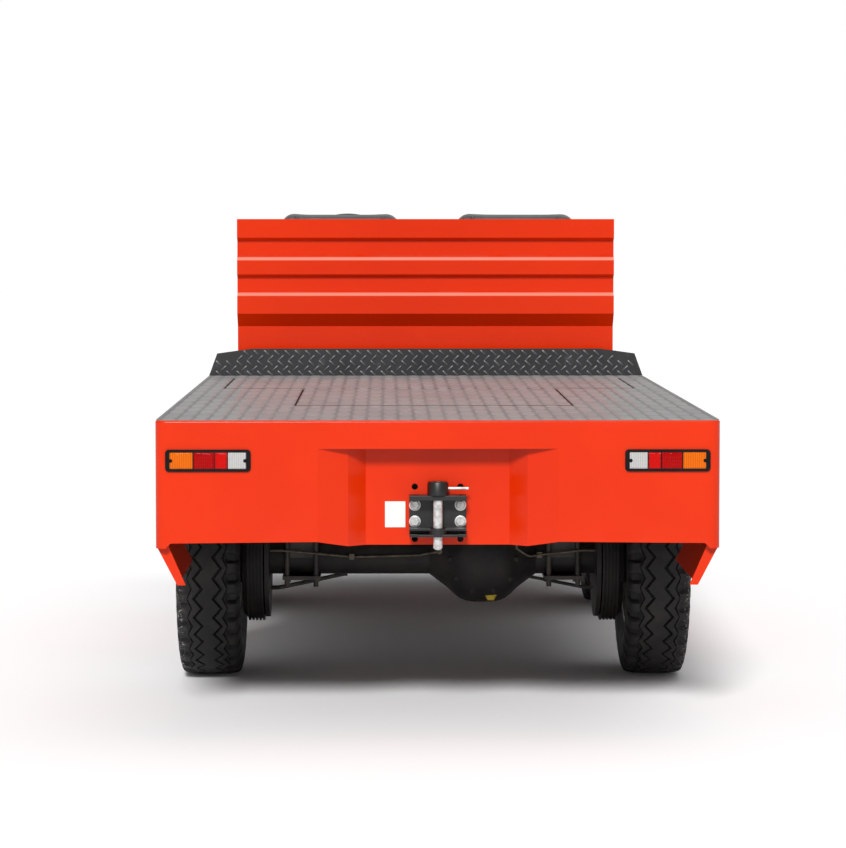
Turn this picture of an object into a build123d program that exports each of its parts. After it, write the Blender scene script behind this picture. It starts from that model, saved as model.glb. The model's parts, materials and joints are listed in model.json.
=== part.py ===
from build123d import *
import math
import os

os.makedirs("parts", exist_ok=True)

# Electric platform truck, millimetres. Origin on the floor under the middle of the truck.
# +Y is forward, +X is to the driver's right, +Z is up.

# Whole truck
overall_length = 4250.0
overall_width = 1600.0
deck_height = 878.0
deck_length = 2800.0
wheel_base = 2000.0
rear_overhang = 1180.0
track = 1400.0
lamp_proud = 6.0

# Wheels
tyre_diameter = 750.0
tyre_width = 200.0
bead_radius = 205.0
rim_width = 152.0
rim_wall = 6.0
rim_flange = 14.0
hub_radius = 85.0
disc_offset = 10.0
disc_thickness = 10.0
hand_holes = 6
hand_hole_radius = 20.0
hand_hole_ring = 135.0
wheel_running_gap = 0.05

# Brakes and rear axle
drum_radius = 205.0
drum_inner_x = 534.0
drum_length = 66.0
drum_rib_count = 5
drum_rib_width = 5.0
drum_rib_depth = 7.0
front_drum_radius = 160.0
front_drum_length = 70.0
backing_thickness = 14.0
axle_tube_radius = 57.0
rear_spindle_radius = 40.0
bulb_x = 160.0
bulb_radius = 146.0
bulb_flare = 170.0
motor_radius = 118.0
motor_length = 380.0

# Frame
rail_width = 80.0
rail_outer_x = 425.0
rail_bottom = 560.0
rail_top = 700.0
rail_wall = 6.0
low_rail_bottom = 440.0
rail_crank = 90.0
floor_thickness = 6.0
bearer_width = 60.0
bearer_wall = 6.0
bearer_tip_depth = 70.0
edge_beam_width = 50.0
deck_plate_thickness = 6.0
sheet = 4.0

# Springs
rear_spring_x = 416.0
front_spring_x = 360.0
spring_width = 75.0
leaf_thickness = 9.0
leaf_count = 5
spring_half_length = 545.0
front_spring_half_length = 340.0
leaf_step = 95.0
spring_arc_radius = 6000.0
spring_eye_radius = 22.0
spring_pin_radius = 10.0
spring_seat = 15.0
ubolt_radius = 8.0
ubolt_spacing_x = 92.0
ubolt_spacing_y = 136.0

# Rear panel
corner_radius = 30.0
panel_bottom = 534.0
panel_corner_bottom = 515.0
panel_corner_run = 14.0
rim_flange_width = 12.0
top_edge_radius = 6.0
recess_top = 798.0
recess_mouth_x = 340.0
recess_bend_x = 255.0
recess_back_x = 205.0
recess_bend_depth = 30.0
recess_depth = 75.0
recess_bottom = 519.0

# Side skirts
skirt_bend_z = 523.0
skirt_bottom_z = 408.0
skirt_bottom_x = 740.0
skirt_flange = 34.0
skirt_foot_flange = 24.0
skirt_upper_flange = 28.0
arch_half_length = 470.0
arch_top = 800.0
arch_chamfer_y = 140.0
arch_chamfer_z = 150.0

# Deck hatch and battery cover
hatch_half_width = 425.0
hatch_rear = 777.0
hatch_front = 1788.0
cover_half_width = 695.0
cover_rear = 1850.0
cover_front = 2570.0
lid_gap = 3.0
ledge = 16.0
hinge_radius = 2.8
hinge_length = 120.0
hinge_spread = 0.62
hinge_chamfer = 3.2

# Battery
battery_half_width = 330.0
battery_bottom = 330.0
battery_top = 780.0
tray_wall = 5.0
battery_gap = 8.0

# Brake pipes along the rear axle and the parking cables under it
pipe_radius = 4.0
pipe_bend = 30.0
pipe_clearance = 2.0
clip_width = 16.0
cable_radius_left = 7.0
cable_radius_right = 5.5
cable_z = 269.0
cable_end_x = 292.0
cable_end_z = 251.0
cable_bracket = 26.0

# Kick plate and headboard
kick_height = 100.0
kick_end_height = 82.0
kick_flat_half_width = 640.0
kick_top_half_width = 770.0
kick_foot = 40.0
headboard_offset = 100.0
headboard_half_width = 700.0
headboard_top = 1455.0
headboard_sheet = 3.0
headboard_rib = 25.0
headboard_foot_set_back = 50.0
headboard_flange = 35.0
headboard_post = 40.0
headboard_post_x = 620.0

# Cab
seat_base_top = 900.0
seat_base_rear = 115.0
seat_base_front = 805.0
fender_top = 815.0
fender_front_gap = 14.0
fender_corner = 50.0
fender_lip = 40.0
fender_foot_z = 430.0
floor_top = 566.0
bumper_depth = 65.0
bumper_half_width = 780.0
bumper_bottom = 400.0
bumper_top = 540.0
cowl_half_width = 700.0
cowl_knee_z = 860.0
cowl_top_z = 1090.0
cowl_top_length = 150.0
headlamp_radius = 78.0
headlamp_x = 520.0
headlamp_z = 720.0

# Seats
seat_x = (-320.0, 340.0)
seat_width = 490.0
cushion_length = 470.0
cushion_height = 110.0
seat_back_height = 470.0
seat_back_thickness = 90.0
seat_back_lean = 8.0
seat_back_foot = 250.0
pan_thickness = 5.0

# Steering
kingpin_x = 540.0
kingpin_radius = 18.0
knuckle_boss_radius = 34.0
knuckle_boss_height = 90.0
knuckle_ear = 28.0
knuckle_gap = 0.3
front_beam_radius = 42.0
front_spindle_radius = 30.0
arm_x = 500.0
arm_back = 150.0
tie_rod_radius = 13.0
ball_radius = 20.0
steering_wheel_x = -300.0
steering_wheel_y = 3759.0
steering_wheel_z = 1342.0
steering_wheel_radius = 190.0
steering_rim_radius = 13.0
column_tilt = 45.0
column_radius = 30.0
column_length = 400.0

# Tail lamps
lamp_x = 650.0
lamp_z = 765.0
lamp_width = 242.0
lamp_height = 63.0
lamp_corner = 11.0
lamp_depth = 34.0
lamp_clearance = 0.3

# Towing coupler
coupler_z = 604.0
coupler_width = 163.0
coupler_height = 123.0
coupler_base = 12.0
jaw_width = 72.0
jaw_tip_radius = 27.0
jaw_top = 664.0
jaw_plate = 22.0
jaw_low = 552.0
socket_radius = 31.0
socket_height = 40.0
tow_pin_radius = 13.0
tow_pin_gap = 0.1
tow_pin_bottom = 509.0
handle_radius = 4.0
handle_length = 66.0
hole_spacing_x = 130.0
hole_spacing_z = 150.0
hole_centre_z = 610.0
hole_radius = 9.0
tow_plate_half_width = 110.0
tow_plate_thickness = 12.0
sign_x = -121.0
sign_z = 606.0
sign_width = 58.0
sign_height = 74.0
sign_thickness = 1.5

# Places worked out from the sizes above
rear_y = -overall_length / 2 + lamp_proud
front_y = overall_length / 2
half_width = overall_width / 2
rear_axle_y = rear_y + rear_overhang
front_axle_y = rear_axle_y + wheel_base
axle_z = tyre_diameter / 2
tyre_radius = tyre_diameter / 2
wheel_x = track / 2
deck_front_y = rear_y + deck_length
deck_under = deck_height - deck_plate_thickness
bearer_tip_z = deck_under - bearer_tip_depth
seat_rear_y = deck_front_y + seat_base_rear
seat_front_y = deck_front_y + seat_base_front
headboard_y = deck_front_y + headboard_offset
low_rail_top = floor_top - floor_thickness
bumper_rear_y = front_y - bumper_depth
recess_back_y = rear_y + recess_depth
rail_rear_y = rear_y + sheet
floor_rear_y = seat_front_y + fender_front_gap


def block(x0, x1, y0, y1, z0, z1):
    return Pos((x0 + x1) / 2, (y0 + y1) / 2, (z0 + z1) / 2) * Box(x1 - x0, y1 - y0, z1 - z0)


def slab_yz(points, x0, x1):
    """A polygon of (y, z) points, as thick as x0 to x1."""
    face = make_face(Polyline(*points, close=True))
    return Pos(x0, 0, 0) * extrude(Plane.YZ * face, amount=x1 - x0)


def slab_xz(points, y0, y1):
    """A polygon of (x, z) points, as thick as y0 to y1."""
    face = make_face(Polyline(*points, close=True))
    return Pos(0, y1, 0) * extrude(Plane.XZ * face, amount=y1 - y0)


def slab_xy(points, z0, z1):
    """A polygon of (x, y) points, as thick as z0 to z1."""
    face = make_face(Polyline(*points, close=True))
    return Pos(0, 0, z0) * extrude(face, amount=z1 - z0)


def bar(start, end, radius):
    """A round bar between two points."""
    start, end = Vector(*start), Vector(*end)
    run = end - start
    return extrude(Plane(origin=start, z_dir=run) * Circle(radius), amount=run.length)


def turned(points, y, z):
    """A polygon of (x, radius) points turned about an axis along X."""
    face = make_face(Polyline(*points, close=True))
    return Pos(0, y, z) * revolve(face, axis=Axis.X)


def strip(points, thickness):
    """The outline of a bent sheet: the points and their offset to the left, with mitred bends."""
    corners = [Vector(*p) for p in points]
    inner = []
    for i, corner in enumerate(corners):
        before = corners[max(i - 1, 0)]
        after = corners[min(i + 1, len(corners) - 1)]
        first = (corner - before).normalized() if i else (after - corner).normalized()
        second = (after - corner).normalized() if i < len(corners) - 1 else first
        normal = Vector(-first.Y - second.Y, first.X + second.X)
        square = Vector(-first.Y, first.X)
        normal = normal.normalized()
        inner.append(corner + normal * (thickness / normal.dot(square)))
    return [(p.X, p.Y) for p in corners] + [(p.X, p.Y) for p in reversed(inner)]


def both(right):
    """The right-hand piece and its mirror image on the left."""
    return right, mirror(right, about=Plane.YZ)


def save(name, *shapes):
    shape = shapes[0] if len(shapes) == 1 else Compound(children=list(shapes))
    export_step(shape, f"parts/{name}.step")


def save_pair(name, right):
    for side, shape in zip(("right", "left"), both(right)):
        save(f"{name}_{side}", shape)


# Frame rails: channels cranked down under the driver's floor
def make_rails():
    rail_front_y = bumper_rear_y
    top_drop_y = floor_rear_y
    outline = [
        (rail_rear_y, rail_bottom),
        (top_drop_y - rail_crank / 2, rail_bottom),
        (top_drop_y + rail_crank / 3, low_rail_bottom),
        (rail_front_y, low_rail_bottom),
        (rail_front_y, low_rail_top),
        (top_drop_y, low_rail_top),
        (top_drop_y - rail_crank, rail_top),
        (rail_rear_y, rail_top),
    ]
    inner_x = rail_outer_x - rail_width
    rail = slab_yz(outline, inner_x, rail_outer_x)
    face = offset(make_face(Polyline(*outline, close=True)), amount=-rail_wall)
    hollow = Pos(inner_x, 0, 0) * extrude(Plane.YZ * face, amount=rail_width - rail_wall)
    save("frame_rails", *both(rail - hollow))


# Cross bearers: I-sections, full depth between the rails and tapered to the edges
def bearer(y, reach, tip):
    taper_x = rail_outer_x + 15.0
    taper_end = taper_x + 120.0
    outline = [
        (-tip, deck_under),
        (-tip, bearer_tip_z),
        (-taper_end, bearer_tip_z),
        (-taper_x, rail_top),
        (taper_x, rail_top),
        (taper_end, bearer_tip_z),
        (tip, bearer_tip_z),
        (tip, deck_under),
    ]
    solid = slab_xz(outline, y - bearer_width / 2, y + bearer_width / 2)
    face = offset(make_face(Polyline(*outline, close=True)), amount=-bearer_wall)
    side = (bearer_width - bearer_wall) / 2
    pocket = extrude(Plane.XZ * face, amount=side)
    solid -= Pos(0, y - bearer_width / 2 + side, 0) * pocket
    solid -= Pos(0, y + bearer_width / 2, 0) * pocket
    return solid


bearer_tip = half_width - sheet - edge_beam_width
bearer_rows = (
    rear_y + 95.0 + bearer_width / 2,
    rear_y + 430.0,
    rear_y + hatch_rear - lid_gap + ledge - bearer_width / 2,
    rear_y + (hatch_front + cover_rear) / 2,
    rear_y + cover_front + lid_gap - ledge + bearer_width / 2,
    deck_front_y + 70.0,
)


def make_bearers():
    save("cross_bearers", *(bearer(y, bearer_tip, bearer_tip) for y in bearer_rows))


# Beams along the deck's edges, and the stringers that carry the lids' long sides
def make_edge_beams():
    x0 = bearer_tip
    x1 = half_width - sheet
    beam = block(x0, x1, rear_y + corner_radius + sheet, seat_rear_y, bearer_tip_z, deck_under)
    inside = block(
        x0,
        x1 - bearer_wall,
        rear_y + corner_radius,
        seat_rear_y + 1,
        bearer_tip_z + bearer_wall,
        deck_under - bearer_wall,
    )
    save("edge_beams", *both(beam - inside))


def make_stringers():
    half_bearer = bearer_width / 2
    hatch_edge = hatch_half_width + lid_gap
    cover_edge = cover_half_width + lid_gap
    hatch_span = (bearer_rows[2] + half_bearer, bearer_rows[3] - half_bearer)
    cover_span = (bearer_rows[3] + half_bearer, bearer_rows[4] - half_bearer)
    hatch_right = block(
        hatch_edge - ledge - lid_gap, hatch_edge + ledge, *hatch_span, rail_top, deck_under,
    )
    cover_right = block(
        cover_edge - ledge - lid_gap,
        cover_edge + ledge,
        *cover_span,
        bearer_tip_z,
        deck_under,
    )
    save("lid_stringers", *both(hatch_right), *both(cover_right))


# Deck: one plate with an opening under each lid
def lid_notches(front, half_size):
    return [
        Pos(side * half_size * hinge_spread, front + lid_gap / 2, 0)
        * Box(hinge_length + 2, 4 * hinge_radius, 8 * deck_plate_thickness)
        for side in (-1, 1)
    ]


def make_deck():
    x1 = half_width - rim_flange_width
    deck = block(-x1, x1, rear_y + rim_flange_width, deck_front_y, deck_under, deck_height)
    for half, rear, front in (
        (hatch_half_width, hatch_rear, hatch_front),
        (cover_half_width, cover_rear, cover_front),
    ):
        hole = block(
            -half - lid_gap,
            half + lid_gap,
            rear_y + rear - lid_gap,
            rear_y + front + lid_gap,
            deck_under - 1,
            deck_height + 1,
        )
        deck -= hole
        for notch in lid_notches(rear_y + front, half):
            deck -= Pos(0, 0, deck_height) * notch
    save("deck_plate", deck)


def make_lids():
    for name, half, rear, front in (
        ("deck_hatch", hatch_half_width, hatch_rear, hatch_front),
        ("battery_cover", cover_half_width, cover_rear, cover_front),
    ):
        y1 = rear_y + front
        lid = block(-half, half, rear_y + rear, y1, deck_under, deck_height)
        swing_edge = [
            (y1 - hinge_chamfer, deck_height),
            (y1, deck_height - hinge_chamfer),
            (y1 + 1, deck_height - hinge_chamfer),
            (y1 + 1, deck_height + 1),
            (y1 - hinge_chamfer, deck_height + 1),
        ]
        lid -= slab_yz(swing_edge, -half - 1, half + 1)
        for side in (-1, 1):
            x = side * half * hinge_spread
            axis_y = y1 + lid_gap / 2
            z = deck_height - hinge_radius - 0.1
            lid += block(
                x - hinge_length / 2, x + hinge_length / 2, y1 - 1, axis_y, z - 1, deck_height - 1
            )
            lid += bar((x - hinge_length / 2, axis_y, z), (x + hinge_length / 2, axis_y, z), hinge_radius)
        save(name, lid)


# Rear panel: a bent sheet with a recess for the coupler
def make_rear_panel():
    centre_y = rear_y + corner_radius
    far_y = centre_y + corner_radius
    solid = block(-half_width, half_width, rear_y, far_y, panel_corner_bottom, deck_height)
    solid = fillet(solid.edges().filter_by(Axis.Z).sort_by(Axis.Y)[:2], corner_radius)
    top_outline = solid.faces().sort_by(Axis.Z)[-1].edges()
    solid = fillet([e for e in top_outline if (e @ 0.5).Y < far_y - 0.1], top_edge_radius)
    inside = block(
        -half_width + sheet, half_width - sheet, rear_y + sheet, far_y + 1, panel_corner_bottom - 1, deck_under
    )
    inside = fillet(inside.edges().filter_by(Axis.Z).sort_by(Axis.Y)[:2], corner_radius - sheet)
    inside += block(-half_width - 1, half_width + 1, centre_y, far_y + 1, 0, deck_height + 1)
    deck_x = half_width - rim_flange_width
    deck_space = block(
        -deck_x, deck_x, rear_y + rim_flange_width, centre_y + 1, deck_under - 1, deck_height + 1,
    )
    flat_x = half_width - corner_radius
    below = slab_xz(
        [
            (-flat_x, 0),
            (-flat_x, panel_corner_bottom + 2),
            (-flat_x + panel_corner_run, panel_bottom - 4),
            (-recess_mouth_x, panel_bottom),
            (-recess_mouth_x, recess_top),
            (recess_mouth_x, recess_top),
            (recess_mouth_x, panel_bottom),
            (flat_x - panel_corner_run, panel_bottom - 4),
            (flat_x, panel_corner_bottom + 2),
            (flat_x, 0),
        ],
        rear_y - 1,
        rear_y + sheet + 1,
    )
    panel = solid - inside - deck_space - below
    # Recess walls, open behind the upper strip as far up as the deck
    plan = [
        (recess_mouth_x, rear_y),
        (recess_bend_x, rear_y + recess_bend_depth),
        (recess_back_x, recess_back_y),
        (-recess_back_x, recess_back_y),
        (-recess_bend_x, rear_y + recess_bend_depth),
        (-recess_mouth_x, rear_y),
    ]
    walls = slab_xy(strip(plan[::-1], sheet), recess_bottom, deck_under)
    trim = slab_xz(
        [
            (-recess_mouth_x - sheet, panel_bottom),
            (-recess_bend_x, recess_bottom),
            (recess_bend_x, recess_bottom),
            (recess_mouth_x + sheet, panel_bottom),
            (recess_mouth_x + sheet, deck_under),
            (-recess_mouth_x - sheet, deck_under),
        ],
        rear_y,
        recess_back_y + 2 * sheet,
    )
    panel += walls & trim
    for x in (-hole_spacing_x / 2, hole_spacing_x / 2):
        for z in (-hole_spacing_z / 2, hole_spacing_z / 2):
            z += hole_centre_z
            panel -= bar((x, recess_back_y - 5, z), (x, recess_back_y + 3 * sheet, z), hole_radius)
    for x in (-lamp_x, lamp_x):
        panel -= lamp_block(x, rear_y - 1, rear_y + sheet + 1, 0.0)
    save("rear_panel", panel)


def lamp_block(x, y0, y1, clearance):
    """The tail lamp's rounded outline between two depths, smaller by the clearance."""
    outline = RectangleRounded(
        lamp_width - 2 * clearance, lamp_height - 2 * clearance, lamp_corner - clearance
    )
    return Pos(x, y1, lamp_z) * extrude(Plane.XZ * outline, amount=y1 - y0)


def make_lamps():
    lamp = lamp_block(lamp_x, rear_y - lamp_proud, rear_y + lamp_depth, lamp_clearance / 2)
    save("tail_lamps", *both(lamp))


# Side skirts: bent inwards at the bottom, with cut-outs for the wheels
def make_skirts():
    y0 = rear_y + corner_radius
    y1 = deck_front_y
    section = [
        (half_width, deck_height),
        (half_width, skirt_bend_z),
        (skirt_bottom_x, skirt_bottom_z),
    ]
    outline = strip(section[::-1], sheet)
    skirt = slab_xz(outline, y0, y1)
    skirt += block(half_width - rim_flange_width, half_width, y0, y1, deck_under, deck_height)
    end = [
        (half_width, bearer_tip_z),
        (half_width, skirt_bend_z),
        (skirt_bottom_x, skirt_bottom_z),
        (skirt_bottom_x - skirt_foot_flange, skirt_bottom_z),
        (half_width - skirt_flange, skirt_bend_z),
        (half_width - skirt_upper_flange, skirt_bend_z + 60),
        (half_width - skirt_upper_flange, bearer_tip_z),
    ]
    skirt += slab_xz(end, y0, y0 + sheet)
    for axle_y in (rear_axle_y, front_axle_y):
        low = skirt_bottom_z - 10
        arch = [
            (axle_y - arch_half_length, low),
            (axle_y - arch_half_length, arch_top - arch_chamfer_z),
            (axle_y - arch_half_length + arch_chamfer_y, arch_top),
            (axle_y + arch_half_length - arch_chamfer_y, arch_top),
            (axle_y + arch_half_length, arch_top - arch_chamfer_z),
            (axle_y + arch_half_length, low),
        ]
        skirt -= slab_yz(arch, skirt_bottom_x - 2 * skirt_flange, half_width + 10)
    edges = skirt.edges().filter_by(Axis.Y)
    edges = [e for e in edges if abs(e.center().X - half_width) < 0.01]
    edges = [e for e in edges if abs(e.center().Z - deck_height) < 0.01]
    save("side_skirts", *both(fillet(edges, top_edge_radius)))


# Kick plate, headboard and its posts
def make_kick_plate():
    outline = [
        (-half_width, deck_height),
        (half_width, deck_height),
        (kick_top_half_width, deck_height + kick_end_height),
        (kick_flat_half_width, deck_height + kick_height),
        (-kick_flat_half_width, deck_height + kick_height),
        (-kick_top_half_width, deck_height + kick_end_height),
    ]
    plate = slab_xz(outline, deck_front_y, deck_front_y + sheet)
    foot = block(
        -half_width + sheet,
        half_width - sheet,
        deck_front_y,
        deck_front_y + kick_foot,
        deck_height,
        deck_height + sheet,
    )
    save("kick_plate", plate + foot)


def make_headboard():
    rib = headboard_rib
    deep = headboard_foot_set_back
    # Heights where the pressed sheet bends, and how far each bend lies in front of the rear face
    bends = [
        (1455.0, 0.0), (1386.0, 0.0), (1375.0, rib), (1323.0, rib), (1306.0, 0.0), (1250.0, 0.0), (1239.0, rib),
        (1186.5, rib), (1168.0, 0.0), (1104.0, 0.0), (1056.0, deep), (seat_base_top, deep),
    ]
    shift = headboard_top - bends[0][0]
    points = [(headboard_y + d, z + (shift if z > seat_base_top else 0)) for z, d in bends]
    board = slab_yz(strip(points, headboard_sheet), -headboard_half_width, headboard_half_width)
    # Returned edges: a folded flange down each end and along the top
    for x0 in (-headboard_half_width, headboard_half_width - headboard_sheet):
        profile = points + [
            (headboard_y + deep + headboard_flange, seat_base_top),
            (headboard_y + deep + headboard_flange, headboard_top),
        ]
        board += slab_yz(profile, x0, x0 + headboard_sheet)
    board += block(
        -headboard_half_width,
        headboard_half_width,
        headboard_y,
        headboard_y + deep + headboard_flange,
        headboard_top - headboard_sheet,
        headboard_top,
    )
    save("headboard", board)
    post_y = headboard_y + deep + headboard_sheet
    post_top = headboard_top - headboard_sheet
    posts = []
    for x in (-headboard_post_x, 0.0, headboard_post_x):
        half = headboard_post / 2
        posts.append(block(x - half, x + half, post_y, post_y + headboard_post, seat_base_top, post_top))
    save("headboard_posts", *posts)


# Seat base over the front wheels, heel board, fenders, floor
def make_seat_base():
    x1 = headboard_half_width
    box = block(-x1, x1, seat_rear_y, seat_front_y, fender_top, seat_base_top)
    inner = block(
        -x1 + sheet,
        x1 - sheet,
        seat_rear_y + sheet,
        seat_front_y - sheet,
        fender_top - 1,
        seat_base_top - sheet,
    )
    base = box - inner
    base += block(-x1, x1, seat_front_y - sheet, seat_front_y, floor_top, fender_top + 1)
    base += block(-x1, x1, seat_front_y - sheet, floor_rear_y + 30, floor_top, floor_top + sheet)
    for side in (-1, 1):
        x = side * (rail_outer_x - rail_width / 2)
        reach = rail_width / 2 + 2
        base -= block(x - reach, x + reach, seat_front_y - 10, floor_rear_y, floor_top - 10, rail_top + 2)
    save("seat_base", base)
    sill = block(
        -half_width + sheet, half_width - sheet, deck_front_y, seat_rear_y, deck_under, deck_height,
    )
    save("cab_sill", sill)


def make_fenders():
    x0, x1 = headboard_half_width, half_width
    line = [
        (seat_rear_y, fender_top),
        (floor_rear_y - fender_corner, fender_top),
        (floor_rear_y, fender_top - fender_corner),
        (floor_rear_y, fender_foot_z),
    ]
    fender = slab_yz(strip(line, sheet), x0, x1)
    fender += slab_yz(strip(line, -fender_lip), x1 - sheet, x1)
    save("front_fenders", *both(fender))


def make_floor():
    x1 = half_width - sheet
    floor = block(-x1, x1, floor_rear_y + sheet, bumper_rear_y, floor_top - floor_thickness, floor_top)
    save("cab_floor", floor)
    sill = block(
        x1 - edge_beam_width, x1, floor_rear_y + sheet, bumper_rear_y, low_rail_bottom, low_rail_top,
    )
    sill -= block(
        x1 - edge_beam_width,
        x1 - sheet,
        floor_rear_y,
        bumper_rear_y + 1,
        low_rail_bottom + sheet,
        low_rail_top - sheet,
    )
    frame = sill + mirror(sill, about=Plane.YZ)
    members = []
    for y in (floor_rear_y + 60.0, bumper_rear_y - 160.0):
        inner_x = rail_outer_x - rail_width
        members.append(block(-inner_x, inner_x, y, y + 80, low_rail_bottom + 20, low_rail_top))
        reach = x1 - edge_beam_width + 1
        outrigger = block(rail_outer_x, reach, y, y + 80, low_rail_bottom + 40, low_rail_top)
        frame += outrigger + mirror(outrigger, about=Plane.YZ)
    save("floor_frame", *members, *frame.solids())


# Front cowl, headlamps and bumper
def make_cowl():
    nose_y = bumper_rear_y
    line = [
        (nose_y, floor_top),
        (nose_y - 8, cowl_knee_z),
        (nose_y - 90, cowl_top_z - 35),
        (nose_y - 130, cowl_top_z),
        (nose_y - 130 - cowl_top_length, cowl_top_z - 8),
        (nose_y - 160 - cowl_top_length, cowl_top_z - 60),
    ]
    cowl = slab_yz(strip(line, sheet), -cowl_half_width, cowl_half_width)
    cheek = line + [(nose_y - 190, floor_top + 240), (nose_y - 120, floor_top)]
    for x in (-cowl_half_width, cowl_half_width - sheet):
        cowl += slab_yz(cheek, x, x + sheet)
    hub = column_point(0)
    end = column_point(column_length)
    cowl -= bar(hub, end, column_radius + 3)
    for x in (-headlamp_x, headlamp_x):
        cowl -= bar((x, nose_y - 40, headlamp_z), (x, nose_y + 10, headlamp_z), headlamp_radius - 12)
    cowl -= block(-half_width, half_width, nose_y - 300, nose_y + 20, floor_top - 20, floor_top)
    save("front_cowl", cowl)
    x, r = headlamp_x, headlamp_radius
    lamp = bar((x, nose_y + 0.3, headlamp_z), (x, nose_y + 24, headlamp_z), r)
    lamp += bar((x, nose_y - 60, headlamp_z), (x, nose_y + 1, headlamp_z), r - 13)
    save("headlamps", *both(lamp))


def make_bumper():
    x1, flat = bumper_half_width, bumper_half_width - 60
    line = [(-x1, bumper_rear_y + 10), (-flat, front_y), (flat, front_y), (x1, bumper_rear_y + 10)]
    outline = strip(line[::-1], sheet + 2)
    bumper = slab_xy(outline, bumper_bottom, bumper_top)
    top = line + [(x1, bumper_rear_y), (-x1, bumper_rear_y)]
    bumper += slab_xy(top, bumper_top - sheet, bumper_top)
    bumper += slab_xy(top, bumper_bottom, bumper_bottom + sheet)
    for side in (-1, 1):
        x = side * (rail_outer_x - rail_width / 2)
        bumper += block(x - 40, x + 40, bumper_rear_y, bumper_rear_y + sheet, bumper_bottom, bumper_top)
    save("front_bumper", bumper)


# Battery in its tray between the rails
def make_battery():
    y0 = bearer_rows[3] + bearer_width / 2 + battery_gap
    y1 = bearer_rows[4] - bearer_width / 2 - battery_gap
    x1 = battery_half_width
    tray = block(
        -x1 - tray_wall, x1 + tray_wall, y0 - tray_wall, y1 + tray_wall, battery_bottom,
        rail_top - 40,
    )
    tray -= block(-x1 - 0.5, x1 + 0.5, y0 - 0.5, y1 + 0.5, battery_bottom + tray_wall, rail_top)
    for side in (-1, 1):
        lip_a, lip_b = sorted((side * x1, side * (rail_outer_x - rail_wall)))
        tray += block(
            lip_a, lip_b, y0 + 40, y0 + 140, rail_bottom + rail_wall, rail_bottom + rail_wall + 8,
        )
        tray += block(
            lip_a, lip_b, y1 - 140, y1 - 40, rail_bottom + rail_wall, rail_bottom + rail_wall + 8,
        )
    tray -= block(-x1 - 0.5, x1 + 0.5, y0 - 0.5, y1 + 0.5, battery_bottom + tray_wall, rail_top)
    bracket_y = y0 - tray_wall
    for side in (-1, 1):
        x = side * cable_end_x
        half = cable_bracket / 2
        tray += block(
            x - half, x + half, bracket_y, bracket_y + 12, cable_end_z - half, battery_bottom + 1,
        )
    save("battery_tray", tray)
    save("battery", block(-x1, x1, y0, y1, battery_bottom + tray_wall, battery_top))


# Leaf springs with eyes, their hangers and U-bolts
def leaf_pack(x, axle_y, top_of_seat, half_length):
    centre_z = top_of_seat + spring_arc_radius
    pack = None
    for i in range(leaf_count):
        reach = half_length - (leaf_count - 1 - i) * leaf_step
        outer_r = spring_arc_radius - i * leaf_thickness
        inner_r = outer_r - leaf_thickness
        half_angle = math.asin(reach / spring_arc_radius)
        start = [math.sin(half_angle), -math.cos(half_angle)]
        points = []
        for r in (outer_r, inner_r):
            points.append(
                (
                    (axle_y - r * start[0], centre_z + r * start[1]),
                    (axle_y, centre_z - r),
                    (axle_y + r * start[0], centre_z + r * start[1]),
                )
            )
        low, high = points
        face = make_face(
            [
                ThreePointArc(*low), Line(low[2], high[2]), ThreePointArc(*high[::-1]),
                Line(high[0], low[0]),
            ]
        )
        leaf = Pos(x - spring_width / 2, 0, 0) * extrude(Plane.YZ * face, amount=spring_width)
        pack = leaf if pack is None else pack + leaf
    return pack


def eye_place(axle_y, top_of_seat, half_length, end):
    """Centre of a spring eye: on top of the longest leaf's end."""
    centre_z = top_of_seat + spring_arc_radius
    radius = spring_arc_radius - leaf_count * leaf_thickness
    angle = math.asin(half_length / spring_arc_radius)
    lift = leaf_thickness / 2
    return axle_y + end * radius * math.sin(angle), centre_z - radius * math.cos(angle) + lift


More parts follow.
